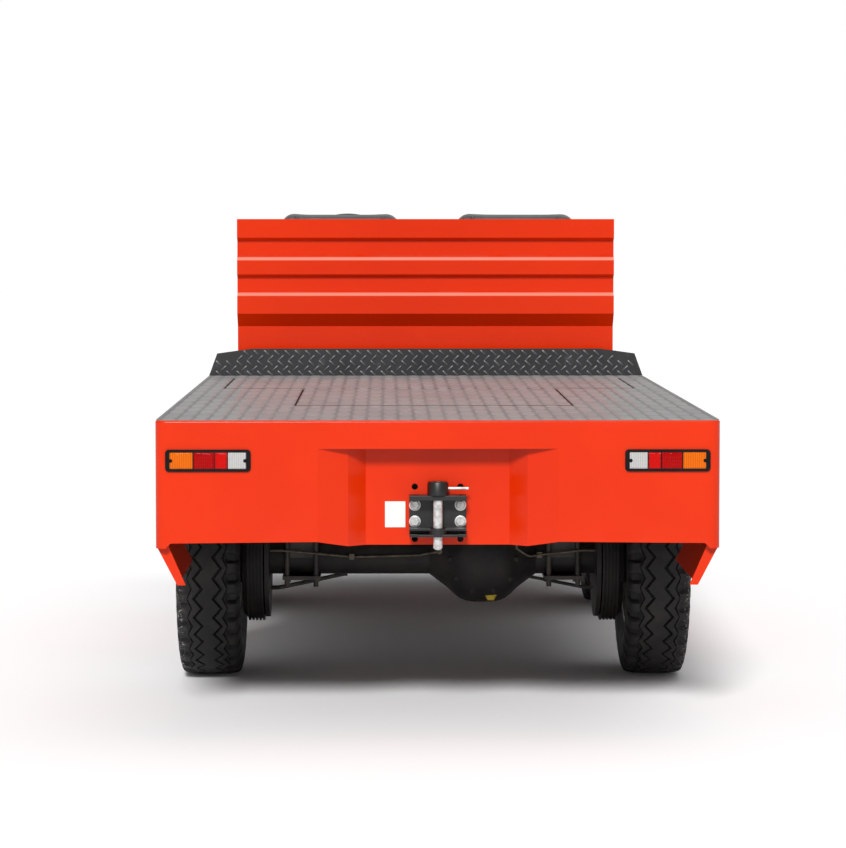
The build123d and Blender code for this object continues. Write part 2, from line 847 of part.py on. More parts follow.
def make_springs():
    springs, all_hangers, all_bolts = [], [], []
    for x, axle_y, beam_radius, half_length in (
        (rear_spring_x, rear_axle_y, axle_tube_radius, spring_half_length),
        (front_spring_x, front_axle_y, front_beam_radius, front_spring_half_length),
    ):
        beam_top = axle_z + beam_radius
        seat_top = beam_top + spring_seat
        spring = leaf_pack(x, axle_y, seat_top, half_length)
        half = spring_width / 2
        hangers = []
        for end in (-1, 1):
            eye_y, eye_z = eye_place(axle_y, seat_top, half_length, end)
            spring += bar((x - half, eye_y, eye_z), (x + half, eye_y, eye_z), spring_eye_radius)
            hole = bar((x - half - 1, eye_y, eye_z), (x + half + 1, eye_y, eye_z), spring_pin_radius)
            spring -= hole
            cheek_in = half + 1.5
            cheek_out = cheek_in + 8
            hanger = block(
                x - cheek_out, x + cheek_out, eye_y - 40, eye_y + 40, rail_bottom - 8, rail_bottom,
            )
            for side in (-1, 1):
                a, b = sorted((x + side * cheek_in, x + side * cheek_out))
                outline = [
                    (eye_y - 40, rail_bottom),
                    (eye_y - 24, eye_z - 24),
                    (eye_y + 24, eye_z - 24),
                    (eye_y + 40, rail_bottom),
                ]
                hanger += slab_yz(outline, a, b)
            pin = bar(
                (x - cheek_out - 6, eye_y, eye_z), (x + cheek_out + 6, eye_y, eye_z),
                spring_pin_radius,
            )
            hangers.append(hanger + pin)
        # Seat pad, U-bolts and the plate under the axle
        pad = block(x - half, x + half, axle_y - 60, axle_y + 60, axle_z, seat_top + 1)
        pad -= bar((x - half - 1, axle_y, axle_z), (x + half + 1, axle_y, axle_z), beam_radius)
        spring += pad
        leaf_top = seat_top + leaf_count * leaf_thickness + ubolt_spacing_y**2 / (8 * spring_arc_radius) + 0.3
        low = axle_z - beam_radius
        dx, dy = ubolt_spacing_x / 2, ubolt_spacing_y / 2
        bolts = block(x - dx - 14, x + dx + 14, axle_y - dy - 16, axle_y + dy + 16, low - 12, low)
        for sy in (-dy, dy):
            for sx in (-dx, dx):
                bolts += bar(
                    (x + sx, axle_y + sy, low - 34), (x + sx, axle_y + sy, leaf_top + 18), ubolt_radius
                )
            bolts += bar(
                (x - dx, axle_y + sy, leaf_top + 12), (x + dx, axle_y + sy, leaf_top + 12), ubolt_radius
            )
        bolts += block(
            x - dx + 10, x + dx - 10, axle_y - dy - 10, axle_y + dy + 10, leaf_top, leaf_top + 8,
        )
        springs += both(spring)
        for hanger in hangers:
            all_hangers += both(hanger)
        all_bolts += both(bolts)
    save("leaf_springs", *springs)
    save("spring_hangers", *all_hangers)
    save("spring_bolts", *all_bolts)


def casing_profile():
    """Half outline of the gear casing, (x, radius), swelling out of the axle tube and back."""
    return [
        (bulb_x - bulb_flare, 0),
        (bulb_x - bulb_flare, axle_tube_radius),
        (bulb_x - 0.62 * bulb_flare, 0.72 * bulb_radius),
        (bulb_x - 0.34 * bulb_flare, 0.96 * bulb_radius),
        (bulb_x, bulb_radius),
        (bulb_x + 0.34 * bulb_flare, 0.96 * bulb_radius),
        (bulb_x + 0.62 * bulb_flare, 0.72 * bulb_radius),
        (bulb_x + bulb_flare, axle_tube_radius),
        (bulb_x + bulb_flare, 0),
    ]


# Rear axle with its off-centre drive casing, and the motor in front of it
def make_rear_axle():
    y, z = rear_axle_y, axle_z
    flange_x = drum_inner_x - backing_thickness - 4
    axle = bar((-flange_x, y, z), (flange_x, y, z), axle_tube_radius)
    for side in (-1, 1):
        axle += bar(
            (side * (flange_x - 1), y, z), (side * (wheel_x - disc_offset), y, z),
            rear_spindle_radius,
        )
        axle += bar(
            (side * (drum_inner_x - backing_thickness - 4), y, z),
            (side * (drum_inner_x - 4), y, z),
            drum_radius - 12,
        )
    axle += turned(casing_profile(), y, z)
    nose_y = y + bulb_radius + 40
    axle += bar((bulb_x, y, z), (bulb_x, nose_y, z), motor_radius * 0.8)
    axle += bar((bulb_x, nose_y - 20, z), (bulb_x, nose_y, z), motor_radius + 8)
    save("rear_axle", axle)
    motor = bar((bulb_x, nose_y, z), (bulb_x, nose_y + motor_length, z), motor_radius)
    for i in range(9):
        rib_y = nose_y + 50 + i * 32
        motor += bar((bulb_x, rib_y, z), (bulb_x, rib_y + 8, z), motor_radius + 8)
    save("drive_motor", motor)


def tube_along(points, radius, bend):
    """A round tube along straight runs with an arc at each corner."""
    path = FilletPolyline(*points, radius=bend)
    start = Plane(origin=path @ 0, z_dir=path % 0)
    return sweep(start * Circle(radius), path=path)


# Brake pipes on the axle's rear side, held by clips, and a cable to each rear drum
def make_brake_lines():
    skin_y = rear_axle_y - axle_tube_radius
    y = skin_y - pipe_clearance - pipe_radius
    plate_x = drum_inner_x - backing_thickness - 4
    clear_y = rear_axle_y - ubolt_spacing_y / 2 - ubolt_radius - pipe_clearance - pipe_radius
    left = [
        (-plate_x, clear_y, axle_z + 25),
        (-plate_x + 40, clear_y, axle_z + 25),
        (-350.0, clear_y, axle_z + 14),
        (-256.0, y, axle_z + 3),
        (-43.0, y, axle_z + 8),
        (22.0, y - 22, axle_z + 22),
    ]
    right = [
        (plate_x, clear_y, axle_z + 25),
        (plate_x - 40, clear_y, axle_z + 25),
        (350.0, clear_y, axle_z + 12),
        (306.0, clear_y - 4, axle_z + 6),
        (262.0, y - 38, axle_z + 36),
    ]
    pipes = []
    for points, clip_x, clip_z, end in (
        (left, -256.0, axle_z + 5, left[-1]),
        (right, 340.0, axle_z + 10, right[-1]),
    ):
        pipe = tube_along(points, pipe_radius, pipe_bend)
        half = clip_width / 2
        pipe += block(clip_x - half, clip_x + half, clear_y, skin_y + 4, clip_z - 9, clip_z + 9)
        pipe += bar(end, (end[0], end[1] + 30, end[2]), 9)
        pipe -= bar((-plate_x, rear_axle_y, axle_z), (plate_x, rear_axle_y, axle_z), axle_tube_radius)
        pipes.append(pipe - turned(casing_profile(), rear_axle_y, axle_z))
    save("brake_pipes", *pipes)
    tray_y = bearer_rows[3] + bearer_width / 2 + battery_gap - tray_wall
    cables = []
    for side, radius in ((-1, cable_radius_left), (1, cable_radius_right)):
        points = [
            (side * plate_x, rear_axle_y + 40, cable_z),
            (side * (plate_x - 20), rear_axle_y + 40, cable_z),
            (side * (plate_x - 38), rear_axle_y + 90, cable_z - 3),
            (side * cable_end_x, tray_y - 60, cable_end_z),
            (side * cable_end_x, tray_y, cable_end_z),
        ]
        cables.append(tube_along(points, radius, [14, 40, 60]))
    save("parking_cables", *cables)


# Front beam with a boss for each kingpin
def make_front_axle():
    y, z = front_axle_y, axle_z
    beam = bar((-kingpin_x + 20, y, z), (kingpin_x - 20, y, z), front_beam_radius)
    for side in (-1, 1):
        x = side * kingpin_x
        half = knuckle_boss_height / 2
        beam += bar((x, y, z - half), (x, y, z + half), knuckle_boss_radius)
        beam -= bar((x, y, z - half - 1), (x, y, z + half + 1), kingpin_radius + wheel_running_gap)
    save("front_axle_beam", beam)


# Steering knuckle: two ears and a pin round the boss, a spindle outwards and an arm back
def make_knuckle(x_sign):
    y, z = front_axle_y, axle_z
    x = kingpin_x
    half = knuckle_boss_height / 2 + knuckle_gap
    plate_x = kingpin_x + knuckle_boss_radius + 8
    top = half + knuckle_ear
    knuckle = bar((x, y, z - top), (x, y, z + top), kingpin_radius)
    for low in (-top, half):
        knuckle += bar((x, y, z + low), (x, y, z + low + knuckle_ear), knuckle_boss_radius)
        knuckle += block(
            x, plate_x + 12, y - knuckle_boss_radius, y + knuckle_boss_radius, z + low, z + low + knuckle_ear
        )
    knuckle += block(
        plate_x, plate_x + 12, y - knuckle_boss_radius, y + knuckle_boss_radius, z - top, z + top,
    )
    knuckle += bar((plate_x + 2, y, z), (plate_x + 16, y, z), front_drum_radius - 8)
    knuckle += bar((plate_x + 2, y, z), (wheel_x - disc_offset, y, z), front_spindle_radius)
    ear_low = z - top
    knuckle += slab_xy(
        [(x - 22, y), (x + 22, y), (arm_x + 20, y - arm_back), (arm_x - 20, y - arm_back)],
        ear_low,
        ear_low + 16,
    )
    knuckle += bar((arm_x, y - arm_back, ear_low), (arm_x, y - arm_back, ear_low + 16), ball_radius + 3)
    return knuckle if x_sign > 0 else mirror(knuckle, about=Plane.YZ)


def make_steering_gear():
    for side, sign in (("right", 1), ("left", -1)):
        save(f"knuckle_{side}", make_knuckle(sign))
    y = front_axle_y - arm_back
    ear_low = axle_z - knuckle_boss_height / 2 - knuckle_gap - knuckle_ear
    z = ear_low - 16
    rod = bar((-arm_x, y, z), (arm_x, y, z), tie_rod_radius)
    for x in (-arm_x, arm_x):
        rod += bar((x, y, z - 15), (x, y, ear_low - knuckle_gap), ball_radius)
    save("tie_rod", rod)


def column_point(distance):
    """A point on the steering column's axis, that far below the wheel's centre."""
    angle = math.radians(column_tilt)
    y = rear_y + steering_wheel_y + distance * math.sin(angle)
    return (steering_wheel_x, y, steering_wheel_z - distance * math.cos(angle))


def make_steering_column():
    tube = bar(column_point(46), column_point(column_length), column_radius)
    knee = column_point(column_length - 20)
    foot = (knee[0], knee[1], floor_top)
    tube += bar(knee, foot, column_radius * 0.6)
    tube += Pos(*knee) * Sphere(column_radius)
    tube += block(knee[0] - 45, knee[0] + 45, knee[1] - 60, knee[1] + 40, floor_top, floor_top + 70)
    save("steering_column", tube)
    hub_plane = Plane(origin=column_point(0), z_dir=Vector(*column_point(0)) - Vector(*column_point(100)))
    rim_path = Circle(steering_wheel_radius - steering_rim_radius).edge()
    wheel = hub_plane * Torus(steering_wheel_radius - steering_rim_radius, steering_rim_radius)
    wheel += hub_plane * (Pos(0, 0, -25) * Cylinder(38, 40))
    for i in range(3):
        spoke = Pos((steering_wheel_radius - steering_rim_radius) / 2, 0, -12)
        spoke *= Box(steering_wheel_radius - steering_rim_radius, 26, 8)
        wheel += hub_plane * (Rot(0, 0, 90 + 120 * i) * spoke)
    save("steering_wheel", wheel)


# Wheels: tyre, rim with a dished disc, brake drum with the hub
def make_wheels():
    half = tyre_width / 2
    rim_half = rim_width / 2
    tyre_profile = [
        (-rim_half, bead_radius),
        (-rim_half, bead_radius + rim_flange),
        (-half * 0.93, bead_radius + 55),
        (-half, tyre_radius - 85),
        (-half * 0.985, tyre_radius - 42),
        (-half * 0.90, tyre_radius - 12),
        (-half * 0.72, tyre_radius - 3),
        (-half * 0.3, tyre_radius),
    ]
    profile = tyre_profile + [(-x, r) for x, r in reversed(tyre_profile)]
    inner = bead_radius - rim_wall
    disc_out = disc_offset + disc_thickness
    rim_profile = [
        (-rim_half, inner),
        (-rim_half, bead_radius),
        (rim_half, bead_radius),
        (rim_half, inner),
        (disc_out + 26, inner),
        (disc_out + 26, inner - 12),
        (disc_out, inner - 60),
        (disc_out, 1),
        (disc_offset, 1),
        (disc_offset, inner - 58),
        (disc_out + 12, inner - 14),
        (disc_out + 12, inner),
    ]
    cap_profile = [
        (disc_out - 0.5, 0), (disc_out - 0.5, 62), (disc_out + 30, 58), (disc_out + 42, 44),
        (disc_out + 46, 0),
    ]
    lips = []
    for sign in (-1, 1):
        lips.append([(sign * rim_half, inner), (sign * rim_half, bead_radius + rim_flange),
                     (sign * (rim_half + rim_wall), bead_radius + rim_flange), (
                         sign * (rim_half + rim_wall), inner,
                     )])
    for axle, axle_y, drum_r, drum_x0, drum_len, bore in (
        ("rear", rear_axle_y, drum_radius, drum_inner_x, drum_length, rear_spindle_radius),
        (
            "front", front_axle_y, front_drum_radius, wheel_x - 86.0, front_drum_length,
            front_spindle_radius,
        ),
    ):
        tyre = Pos(wheel_x, 0, 0) * turned(profile, axle_y, axle_z)
        rim = turned(rim_profile, axle_y, axle_z)
        for lip in lips:
            rim += turned(lip, axle_y, axle_z)
        rim += turned(cap_profile, axle_y, axle_z)
        for i in range(hand_holes):
            angle = math.radians(360 / hand_holes * (i + 0.5))
            hy = axle_y + hand_hole_ring * math.cos(angle)
            hz = axle_z + hand_hole_ring * math.sin(angle)
            rim -= bar((disc_offset - 30, hy, hz), (disc_out + 40, hy, hz), hand_hole_radius)
        rim = Pos(wheel_x, 0, 0) * rim
        face_x = wheel_x + disc_offset
        bore += wheel_running_gap
        drum_x1 = drum_x0 + drum_len
        wall = 10.0
        rib_pitch = (drum_len - 16 - drum_rib_width) / (drum_rib_count - 1)
        rim_points = []
        for i in range(drum_rib_count):
            rib_x = drum_x0 + i * rib_pitch
            low = drum_r - drum_rib_depth
            rim_points += [
                (rib_x, low), (rib_x, drum_r), (rib_x + drum_rib_width, drum_r),
                (rib_x + drum_rib_width, low),
            ]
        drum_profile = [
            (drum_x0, drum_r - wall - drum_rib_depth),
            *rim_points,
            (drum_x1, drum_r - 22),
            (drum_x1, hub_radius),
            (face_x, hub_radius),
            (face_x, bore),
            (drum_x1 - 10, bore),
            (drum_x1 - 10, drum_r - wall - drum_rib_depth),
        ]
        drum = turned(drum_profile, axle_y, axle_z)
        save_pair(f"tyre_{axle}", tyre)
        save_pair(f"rim_{axle}", rim)
        save_pair(f"brake_drum_{axle}", drum)


# Seats: a soft cushion and back on pressed pans
def make_seats():
    cushion_y1 = seat_front_y + 5
    cushion_y0 = cushion_y1 - cushion_length
    pans = []
    for side, x in zip(("left", "right"), seat_x):
        half = seat_width / 2
        cushion = block(
            x - half, x + half, cushion_y0, cushion_y1, seat_base_top + 0.3, seat_base_top + cushion_height
        )
        cushion = fillet(cushion.edges().filter_by(Axis.Z), 45)
        cushion = fillet(cushion.faces().sort_by(Axis.Z)[-1].edges(), 25)
        save(f"seat_cushion_{side}", cushion)
        foot_y = cushion_y0 - 12
        hinge = Location((x, foot_y, seat_base_top), (seat_back_lean, 0, 0))
        pan_low = 20.0
        pan = Box(
            seat_width - 60, pan_thickness, seat_back_foot + 220,
            align=(Align.CENTER, Align.MAX, Align.MIN),
        )
        pan = hinge * pan
        pan += block(
            x - half + 30, x + half - 30, foot_y - 60, foot_y, seat_base_top,
            seat_base_top + pan_thickness,
        )
        pan &= block(x - half, x + half, foot_y - 200, foot_y + 60, seat_base_top, seat_base_top + 600)
        pans.append(pan)
        back = Box(
            seat_width, seat_back_thickness, seat_back_height,
            align=(Align.CENTER, Align.MIN, Align.MIN),
        )
        back = fillet(back.edges().filter_by(Axis.Y), 60)
        back = fillet(back.faces().sort_by(Axis.Y)[-1].edges(), 22)
        back = hinge * (Pos(0, 0.3, cushion_height - pan_low + 20) * back)
        save(f"seat_back_{side}", back)
    save("seat_back_pans", *pans)


# Pedals and the parking lever on the floor
def make_controls():
    y = bumper_rear_y - 190
    parts = []
    for x, width in ((steering_wheel_x + 130, 60), (steering_wheel_x - 110, 70)):
        pad = Location((x, y, floor_top), (-50, 0, 0)) * Box(
            width, 8, 200, align=(Align.CENTER, Align.CENTER, Align.MIN)
        )
        foot = block(x - 20, x + 20, y - 20, y + 50, floor_top, floor_top + 14)
        pad &= block(x - 100, x + 100, y - 100, y + 300, floor_top, floor_top + 400)
        parts.append(pad + foot)
    save("pedals", *parts)
    x = (seat_x[0] + seat_x[1]) / 2
    y = seat_front_y + 110
    lever = block(x - 30, x + 30, y - 50, y + 50, floor_top, floor_top + 40)
    lever += bar((x, y, floor_top + 20), (x, y + 60, floor_top + 330), 9)
    lever += bar((x, y + 42, floor_top + 237), (x, y + 62, floor_top + 340), 16)
    save("parking_lever", lever)


# Towing coupler: base plate, two jaws, a socket and its pin
def make_coupler():
    wall_y = recess_back_y
    base_y = wall_y - coupler_base
    pin_y = rear_y + jaw_tip_radius + 1
    x1 = coupler_width / 2
    z1 = coupler_height / 2
    body = block(-x1, x1, base_y, wall_y, coupler_z - z1, coupler_z + z1)
    half = jaw_width / 2
    for z0, z2 in ((jaw_top - jaw_plate, jaw_top), (jaw_low, jaw_low + jaw_plate)):
        body += slab_xy(
            [(-half, base_y + 1), (half, base_y + 1), (jaw_tip_radius, pin_y), (-jaw_tip_radius, pin_y)],
            z0, z2,
        )
        body += bar((0, pin_y, z0), (0, pin_y, z2), jaw_tip_radius)
    for side in (-1, 1):
        a, b = sorted((side * half, side * (half - 8)))
        body += slab_yz(
            [
                (base_y + 1, jaw_low + 4), (base_y - 14, jaw_low + 4), (base_y - 14, jaw_top - 4),
                (base_y + 1, jaw_top - 4),
            ],
            a,
            b,
        )
    socket = bar(
        (0, pin_y, jaw_top - 1), (0, pin_y, jaw_top + socket_height),
        min(socket_radius, jaw_tip_radius + 0.5),
    )
    body += socket
    body -= bar(
        (0, pin_y, jaw_low - 1), (0, pin_y, jaw_top + socket_height + 1),
        tow_pin_radius + tow_pin_gap,
    )
    slot_z = jaw_top + socket_height / 2
    body -= block(
        0, socket_radius + 5, pin_y - handle_radius - 0.8, pin_y + handle_radius + 0.8,
        slot_z - handle_radius - 0.3, slot_z + socket_height,
    )
    save("tow_coupler", body)
    pin_top = jaw_top + socket_height - 2
    pin = bar((0, pin_y, tow_pin_bottom), (0, pin_y, pin_top), tow_pin_radius)
    pin = chamfer(pin.faces().sort_by(Axis.Z)[0].edges(), 5)
    pin += bar((0, pin_y, slot_z), (21 + handle_length, pin_y, slot_z), handle_radius)
    save("tow_pin", pin)
    # Cross member behind the recess with the thick bolting plate
    plate_y = wall_y + sheet
    inner_x = rail_outer_x - rail_width
    member = block(
        -inner_x, inner_x, plate_y + tow_plate_thickness, plate_y + 70, rail_bottom - 20, rail_top,
    )
    member -= block(-inner_x, inner_x, plate_y, plate_y + 64, rail_bottom - 14, rail_top - 6)
    plate = block(
        -tow_plate_half_width,
        tow_plate_half_width,
        plate_y,
        plate_y + tow_plate_thickness,
        recess_bottom,
        rail_top,
    )
    for x in (-hole_spacing_x / 2, hole_spacing_x / 2):
        for z in (-hole_spacing_z / 2, hole_spacing_z / 2):
            z += hole_centre_z
            plate -= bar((x, plate_y - 1, z), (x, plate_y + tow_plate_thickness + 1, z), hole_radius)
    save("rear_cross_member", member + plate)
    sign = block(
        sign_x - sign_width / 2,
        sign_x + sign_width / 2,
        wall_y - sign_thickness,
        wall_y,
        sign_z - sign_height / 2,
        sign_z + sign_height / 2,
    )
    save("sign_plate", sign)


make_rails()
make_bearers()
make_edge_beams()
make_stringers()
make_deck()
make_lids()
make_rear_panel()
make_lamps()
make_skirts()
make_kick_plate()
make_headboard()
make_seat_base()
make_fenders()
make_floor()
make_cowl()
make_bumper()
make_battery()
make_springs()
make_rear_axle()
make_brake_lines()
make_front_axle()
make_steering_gear()
make_steering_column()
make_wheels()
make_seats()
make_controls()
make_coupler()
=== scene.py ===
import json
import math

import bpy
import numpy as np
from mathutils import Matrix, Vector


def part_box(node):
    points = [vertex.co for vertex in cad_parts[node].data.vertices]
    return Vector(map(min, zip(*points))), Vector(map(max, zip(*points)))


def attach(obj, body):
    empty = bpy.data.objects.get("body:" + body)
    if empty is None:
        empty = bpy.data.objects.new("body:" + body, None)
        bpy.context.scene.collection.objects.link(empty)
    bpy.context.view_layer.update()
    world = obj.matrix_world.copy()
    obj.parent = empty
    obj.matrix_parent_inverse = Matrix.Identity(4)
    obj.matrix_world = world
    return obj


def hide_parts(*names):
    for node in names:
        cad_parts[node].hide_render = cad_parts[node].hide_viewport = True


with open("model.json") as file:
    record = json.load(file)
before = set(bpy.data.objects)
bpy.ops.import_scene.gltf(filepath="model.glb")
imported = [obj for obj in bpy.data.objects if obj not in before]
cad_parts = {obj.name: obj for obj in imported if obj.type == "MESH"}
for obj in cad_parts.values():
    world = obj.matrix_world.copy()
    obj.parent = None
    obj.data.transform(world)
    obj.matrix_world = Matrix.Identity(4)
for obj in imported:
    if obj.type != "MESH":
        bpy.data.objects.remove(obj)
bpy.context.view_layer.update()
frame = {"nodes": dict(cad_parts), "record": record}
nodes = frame["nodes"]
scene = bpy.context.scene


# Colour from screen values of 0 to 255 to the linear values that shaders take.
def tone(red, green, blue):
    screen = np.array([red, green, blue]) / 255.0
    linear = np.where(screen <= 0.04045, screen / 12.92, ((screen + 0.055) / 1.055) ** 2.4)
    return (*[float(v) for v in linear], 1.0)


# Shader helpers

# A number in a shader, with operators that add maths nodes.
class Number:
    def __init__(self, graph, socket):
        self.graph = graph
        self.socket = socket

    def maths(self, operation, other=0.0):
        settings = {"operation": operation}
        node = self.graph.add("ShaderNodeMath", settings, {0: self, 1: other})
        return Number(self.graph, node.outputs[0])

    def __add__(self, other):
        return self.maths("ADD", other)

    def __sub__(self, other):
        return self.maths("SUBTRACT", other)

    def __mul__(self, other):
        return self.maths("MULTIPLY", other)

    def power(self, other):
        return self.maths("POWER", other)

    def sine(self):
        return self.maths("SINE")

    def size(self):
        return self.maths("ABSOLUTE")

    # From low to high becomes 0 to 1, smoothly and clamped.
    def smooth(self, low, high, start=0.0, end=1.0):
        settings = {"interpolation_type": "SMOOTHSTEP"}
        inputs = {0: self, 1: low, 2: high, 3: start, 4: end}
        node = self.graph.add("ShaderNodeMapRange", settings, inputs)
        return Number(self.graph, node.outputs[0])


# One material's node tree.
class Graph:
    def __init__(self, name):
        self.material = bpy.data.materials.new(name)
        self.material.use_nodes = True
        self.tree = self.material.node_tree
        self.shader = self.tree.nodes["Principled BSDF"]
        self.coords = self.add("ShaderNodeTexCoord")
        self.place = self.coords.outputs["Object"]

    # A node by type: settings first, then a value or a link for each input.
    def add(self, kind, settings=None, inputs=None):
        node = self.tree.nodes.new(kind)
        for key, value in (settings or {}).items():
            setattr(node, key, value)
        for key, value in (inputs or {}).items():
            self.feed(node.inputs[key], value)
        return node

    def feed(self, target, value):
        if isinstance(value, Number):
            self.tree.links.new(value.socket, target)
        elif isinstance(value, bpy.types.NodeSocket):
            self.tree.links.new(value, target)
        else:
            target.default_value = value

    def axis(self, name, source=None):
        split = self.add("ShaderNodeSeparateXYZ", None, {0: source or self.place})
        return Number(self, split.outputs[name])

    def moved(self, scale, offset=(0.0, 0.0, 0.0)):
        inputs = {"Vector": self.place, "Scale": scale, "Location": offset}
        return self.add("ShaderNodeMapping", None, inputs).outputs[0]

    def noise(self, scale, detail=3.0, stretch=None, offset=(0.0, 0.0, 0.0)):
        place = self.moved(stretch or (1.0, 1.0, 1.0), offset)
        inputs = {"Vector": place, "Scale": scale, "Detail": detail, "Roughness": 0.58}
        return Number(self, self.add("ShaderNodeTexNoise", None, inputs).outputs[0])

    def mix(self, factor, first, second):
        settings = {"data_type": "RGBA"}
        return self.add("ShaderNodeMix", settings, {0: factor, 6: first, 7: second}).outputs[2]

    def bump(self, height, distance, strength=1.0):
        inputs = {"Strength": strength, "Distance": distance, "Height": height}
        return self.add("ShaderNodeBump", None, inputs).outputs[0]


# Each lid by its body: half its width, its rear edge and its front edge.
lids = {"deck_hatch": (0.425, -1.342, -0.331), "battery_cover": (0.695, -0.269, 0.451)}


# Painted shade in a lid's joint: a dark band, narrow along its sides and wider along its rear edge.
def paintedJointShade(g, half, rear, front):
    x = g.axis("X").size()
    y = g.axis("Y")
    reach = (front - rear) / 2
    beside = (y - (rear + front) / 2).size().smooth(reach + 0.01, reach)
    sides = (x - half).size().smooth(0.006, 0.002) * beside
    ends = (y - rear).size().smooth(0.018, 0.008) * x.smooth(half + 0.004, half)
    return sides.maths("MAXIMUM", ends)


# A coated or bare surface: a mottled colour, worn patches, settled dust, painted shade along the lid joints, a
# painted highlight at given heights, and a fine grain in gloss and bump.
def surface(name, look):
    g = Graph(name)
    seed = look.get("seed", 1.0)
    offset = (seed * 3.1, seed * 1.7, seed * 2.3)
    cloud = g.noise(look["patch"], 4.0, look.get("stretch"), offset).smooth(0.35, 0.7)
    colour = g.mix(cloud * look["mottle"], look["base"], look["shade"])
    fine = g.noise(look["grain"], 3.0, look.get("grainStretch"), offset)
    if "wear" in look:
        scrape = g.noise(look["patch"] * 3.3, 6.0, look.get("stretch"), (seed, 4.0, 9.0))
        worn = scrape.smooth(0.56, 0.72) * look["wear"]
        colour = g.mix(worn, colour, look["worn"])
    up = g.axis("Z", g.coords.outputs["Normal"]).smooth(0.1, 0.95)
    low = g.axis("Z").smooth(0.75, 0.05)
    dustNoise = g.noise(11.0, 5.0, None, offset).smooth(0.3, 0.75)
    dust = (up * look.get("dustUp", 0.25) + low * look.get("dustLow", 0.1)) * dustNoise
    colour = g.mix(dust, colour, look.get("dustTone", tone(150, 140, 126)))
    # Painted shade: where a look asks for it, the lid joints are darkened to stand in for the shade in their
    # gaps.
    if "joints" in look:
        for half, rear, front in lids.values():
            colour = g.mix(paintedJointShade(g, half, rear, front) * look["joints"], colour, tone(26, 25, 25))
    # Painted highlight: a pale pink line at each given height, standing in for light caught on the headboard's
    # bends.
    for height in look.get("paintedHighlightHeights", ()):
        paintedHighlight = (g.axis("Z") - height).size().smooth(0.008, 0.003) * 0.7
        colour = g.mix(paintedHighlight, colour, tone(255, 160, 140))
    g.feed(g.shader.inputs["Base Color"], colour)
    rough = g.noise(look["patch"] * 1.9, 5.0, None, (9.0, seed, 2.0)) * look.get("roughSpread", 0.12)
    g.feed(g.shader.inputs["Roughness"], rough + dust * 0.3 + look["rough"])
    g.feed(g.shader.inputs["Normal"], g.bump(fine, look["bump"], look.get("bumpStrength", 0.5)))
    for key, value in look.get("fixed", {}).items():
        g.shader.inputs[key].default_value = value
    return g


lookBody = {
    "base": (0.64, 0.026, 0.0005, 1.0), "shade": (0.57, 0.020, 0.0004, 1.0), "patch": 2.2,
    "mottle": 0.5,
    "grain": 420.0, "bump": 0.00012, "bumpStrength": 0.35, "rough": 0.30, "roughSpread": 0.14,
    "dustUp": 0.10, "dustLow": 0.05,
    "fixed": {"Coat Weight": 0.3, "Coat Roughness": 0.16, "Specular IOR Level": 0.05},
}
lookFrame = {
    "base": tone(12, 12, 14), "shade": tone(22, 21, 22), "patch": 6.0, "mottle": 0.7, "grain": 300.0,
    "bump": 0.0003, "rough": 0.34, "dustUp": 0.12, "dustLow": 0.10, "seed": 2.0, "wear": 0.2,
    "worn": tone(58, 56, 55),
}
lookDeck = {
    "base": tone(134, 134, 134), "shade": tone(115, 115, 115), "patch": 3.4,
    "mottle": 0.7, "stretch": (1.4, 0.8, 1.0),
    "grain": 240.0, "grainStretch": (1.6, 0.4, 1.0), "bump": 0.0003, "rough": 0.38, "seed": 3.0, "wear": 0.45,
    "worn": tone(160, 156, 154), "dustUp": 0.12, "dustTone": tone(150, 144, 140), "joints": 0.9,
    "fixed": {"Specular IOR Level": 0.2},
}
# Painted light: the bars are a lighter copy of the deck steel, so the raised bars look lit and the deck between
# them looks shaded; the worn patches are real wear.
lookBarLit = {
    "base": tone(154, 154, 153), "shade": tone(136, 136, 136), "patch": 4.0,
    "mottle": 0.6, "stretch": (1.4, 0.8, 1.0),
    "grain": 260.0, "bump": 0.0002, "rough": 0.30, "seed": 3.5, "wear": 0.35, "worn": tone(172, 168, 166),
    "dustUp": 0.1, "dustTone": tone(156, 148, 144), "joints": 0.8, "fixed": {"Specular IOR Level": 0.25},
}
lookTread = {
    "base": tone(43, 42, 43), "shade": tone(31, 31, 32), "patch": 7.0, "mottle": 0.8, "grain": 320.0,
    "bump": 0.0002, "rough": 0.40, "seed": 4.0, "dustUp": 0.2, "wear": 0.3, "worn": tone(86, 88, 92),
    "fixed": {"Metallic": 0.3},
}
# Painted highlight: the studs are much lighter than the dark kick plate they sit on, standing in for light on
# their raised edges; the worn patches are real wear.
lookStudLit = {
    "base": tone(92, 94, 98), "shade": tone(66, 68, 72), "patch": 16.0, "mottle": 0.7, "grain": 320.0,
    "bump": 0.0002, "rough": 0.32, "seed": 4.5, "dustUp": 0.15, "wear": 0.5, "worn": tone(138, 140, 144),
    "fixed": {"Metallic": 0.5},
}
lookCasting = {
    "base": tone(15, 15, 16), "shade": tone(29, 27, 26), "patch": 9.0, "mottle": 0.8, "grain": 180.0,
    "bump": 0.0012, "bumpStrength": 0.7, "rough": 0.6, "seed": 5.0, "dustUp": 0.24, "dustLow": 0.16,
    "dustTone": tone(112, 98, 84),
}
lookSpring = {
    "base": tone(40, 39, 40), "shade": tone(60, 54, 48), "patch": 12.0, "mottle": 0.8, "grain": 260.0,
    "bump": 0.0006, "rough": 0.5, "seed": 6.0, "dustUp": 0.25, "dustLow": 0.25, "wear": 0.3,
    "worn": tone(92, 72, 56),
}
lookZinc = {
    "base": tone(214, 215, 214), "shade": tone(160, 160, 158), "patch": 60.0, "mottle": 0.9, "grain": 500.0,
    "bump": 0.0002, "rough": 0.30, "seed": 7.0, "dustUp": 0.1, "fixed": {"Metallic": 0.4},
}
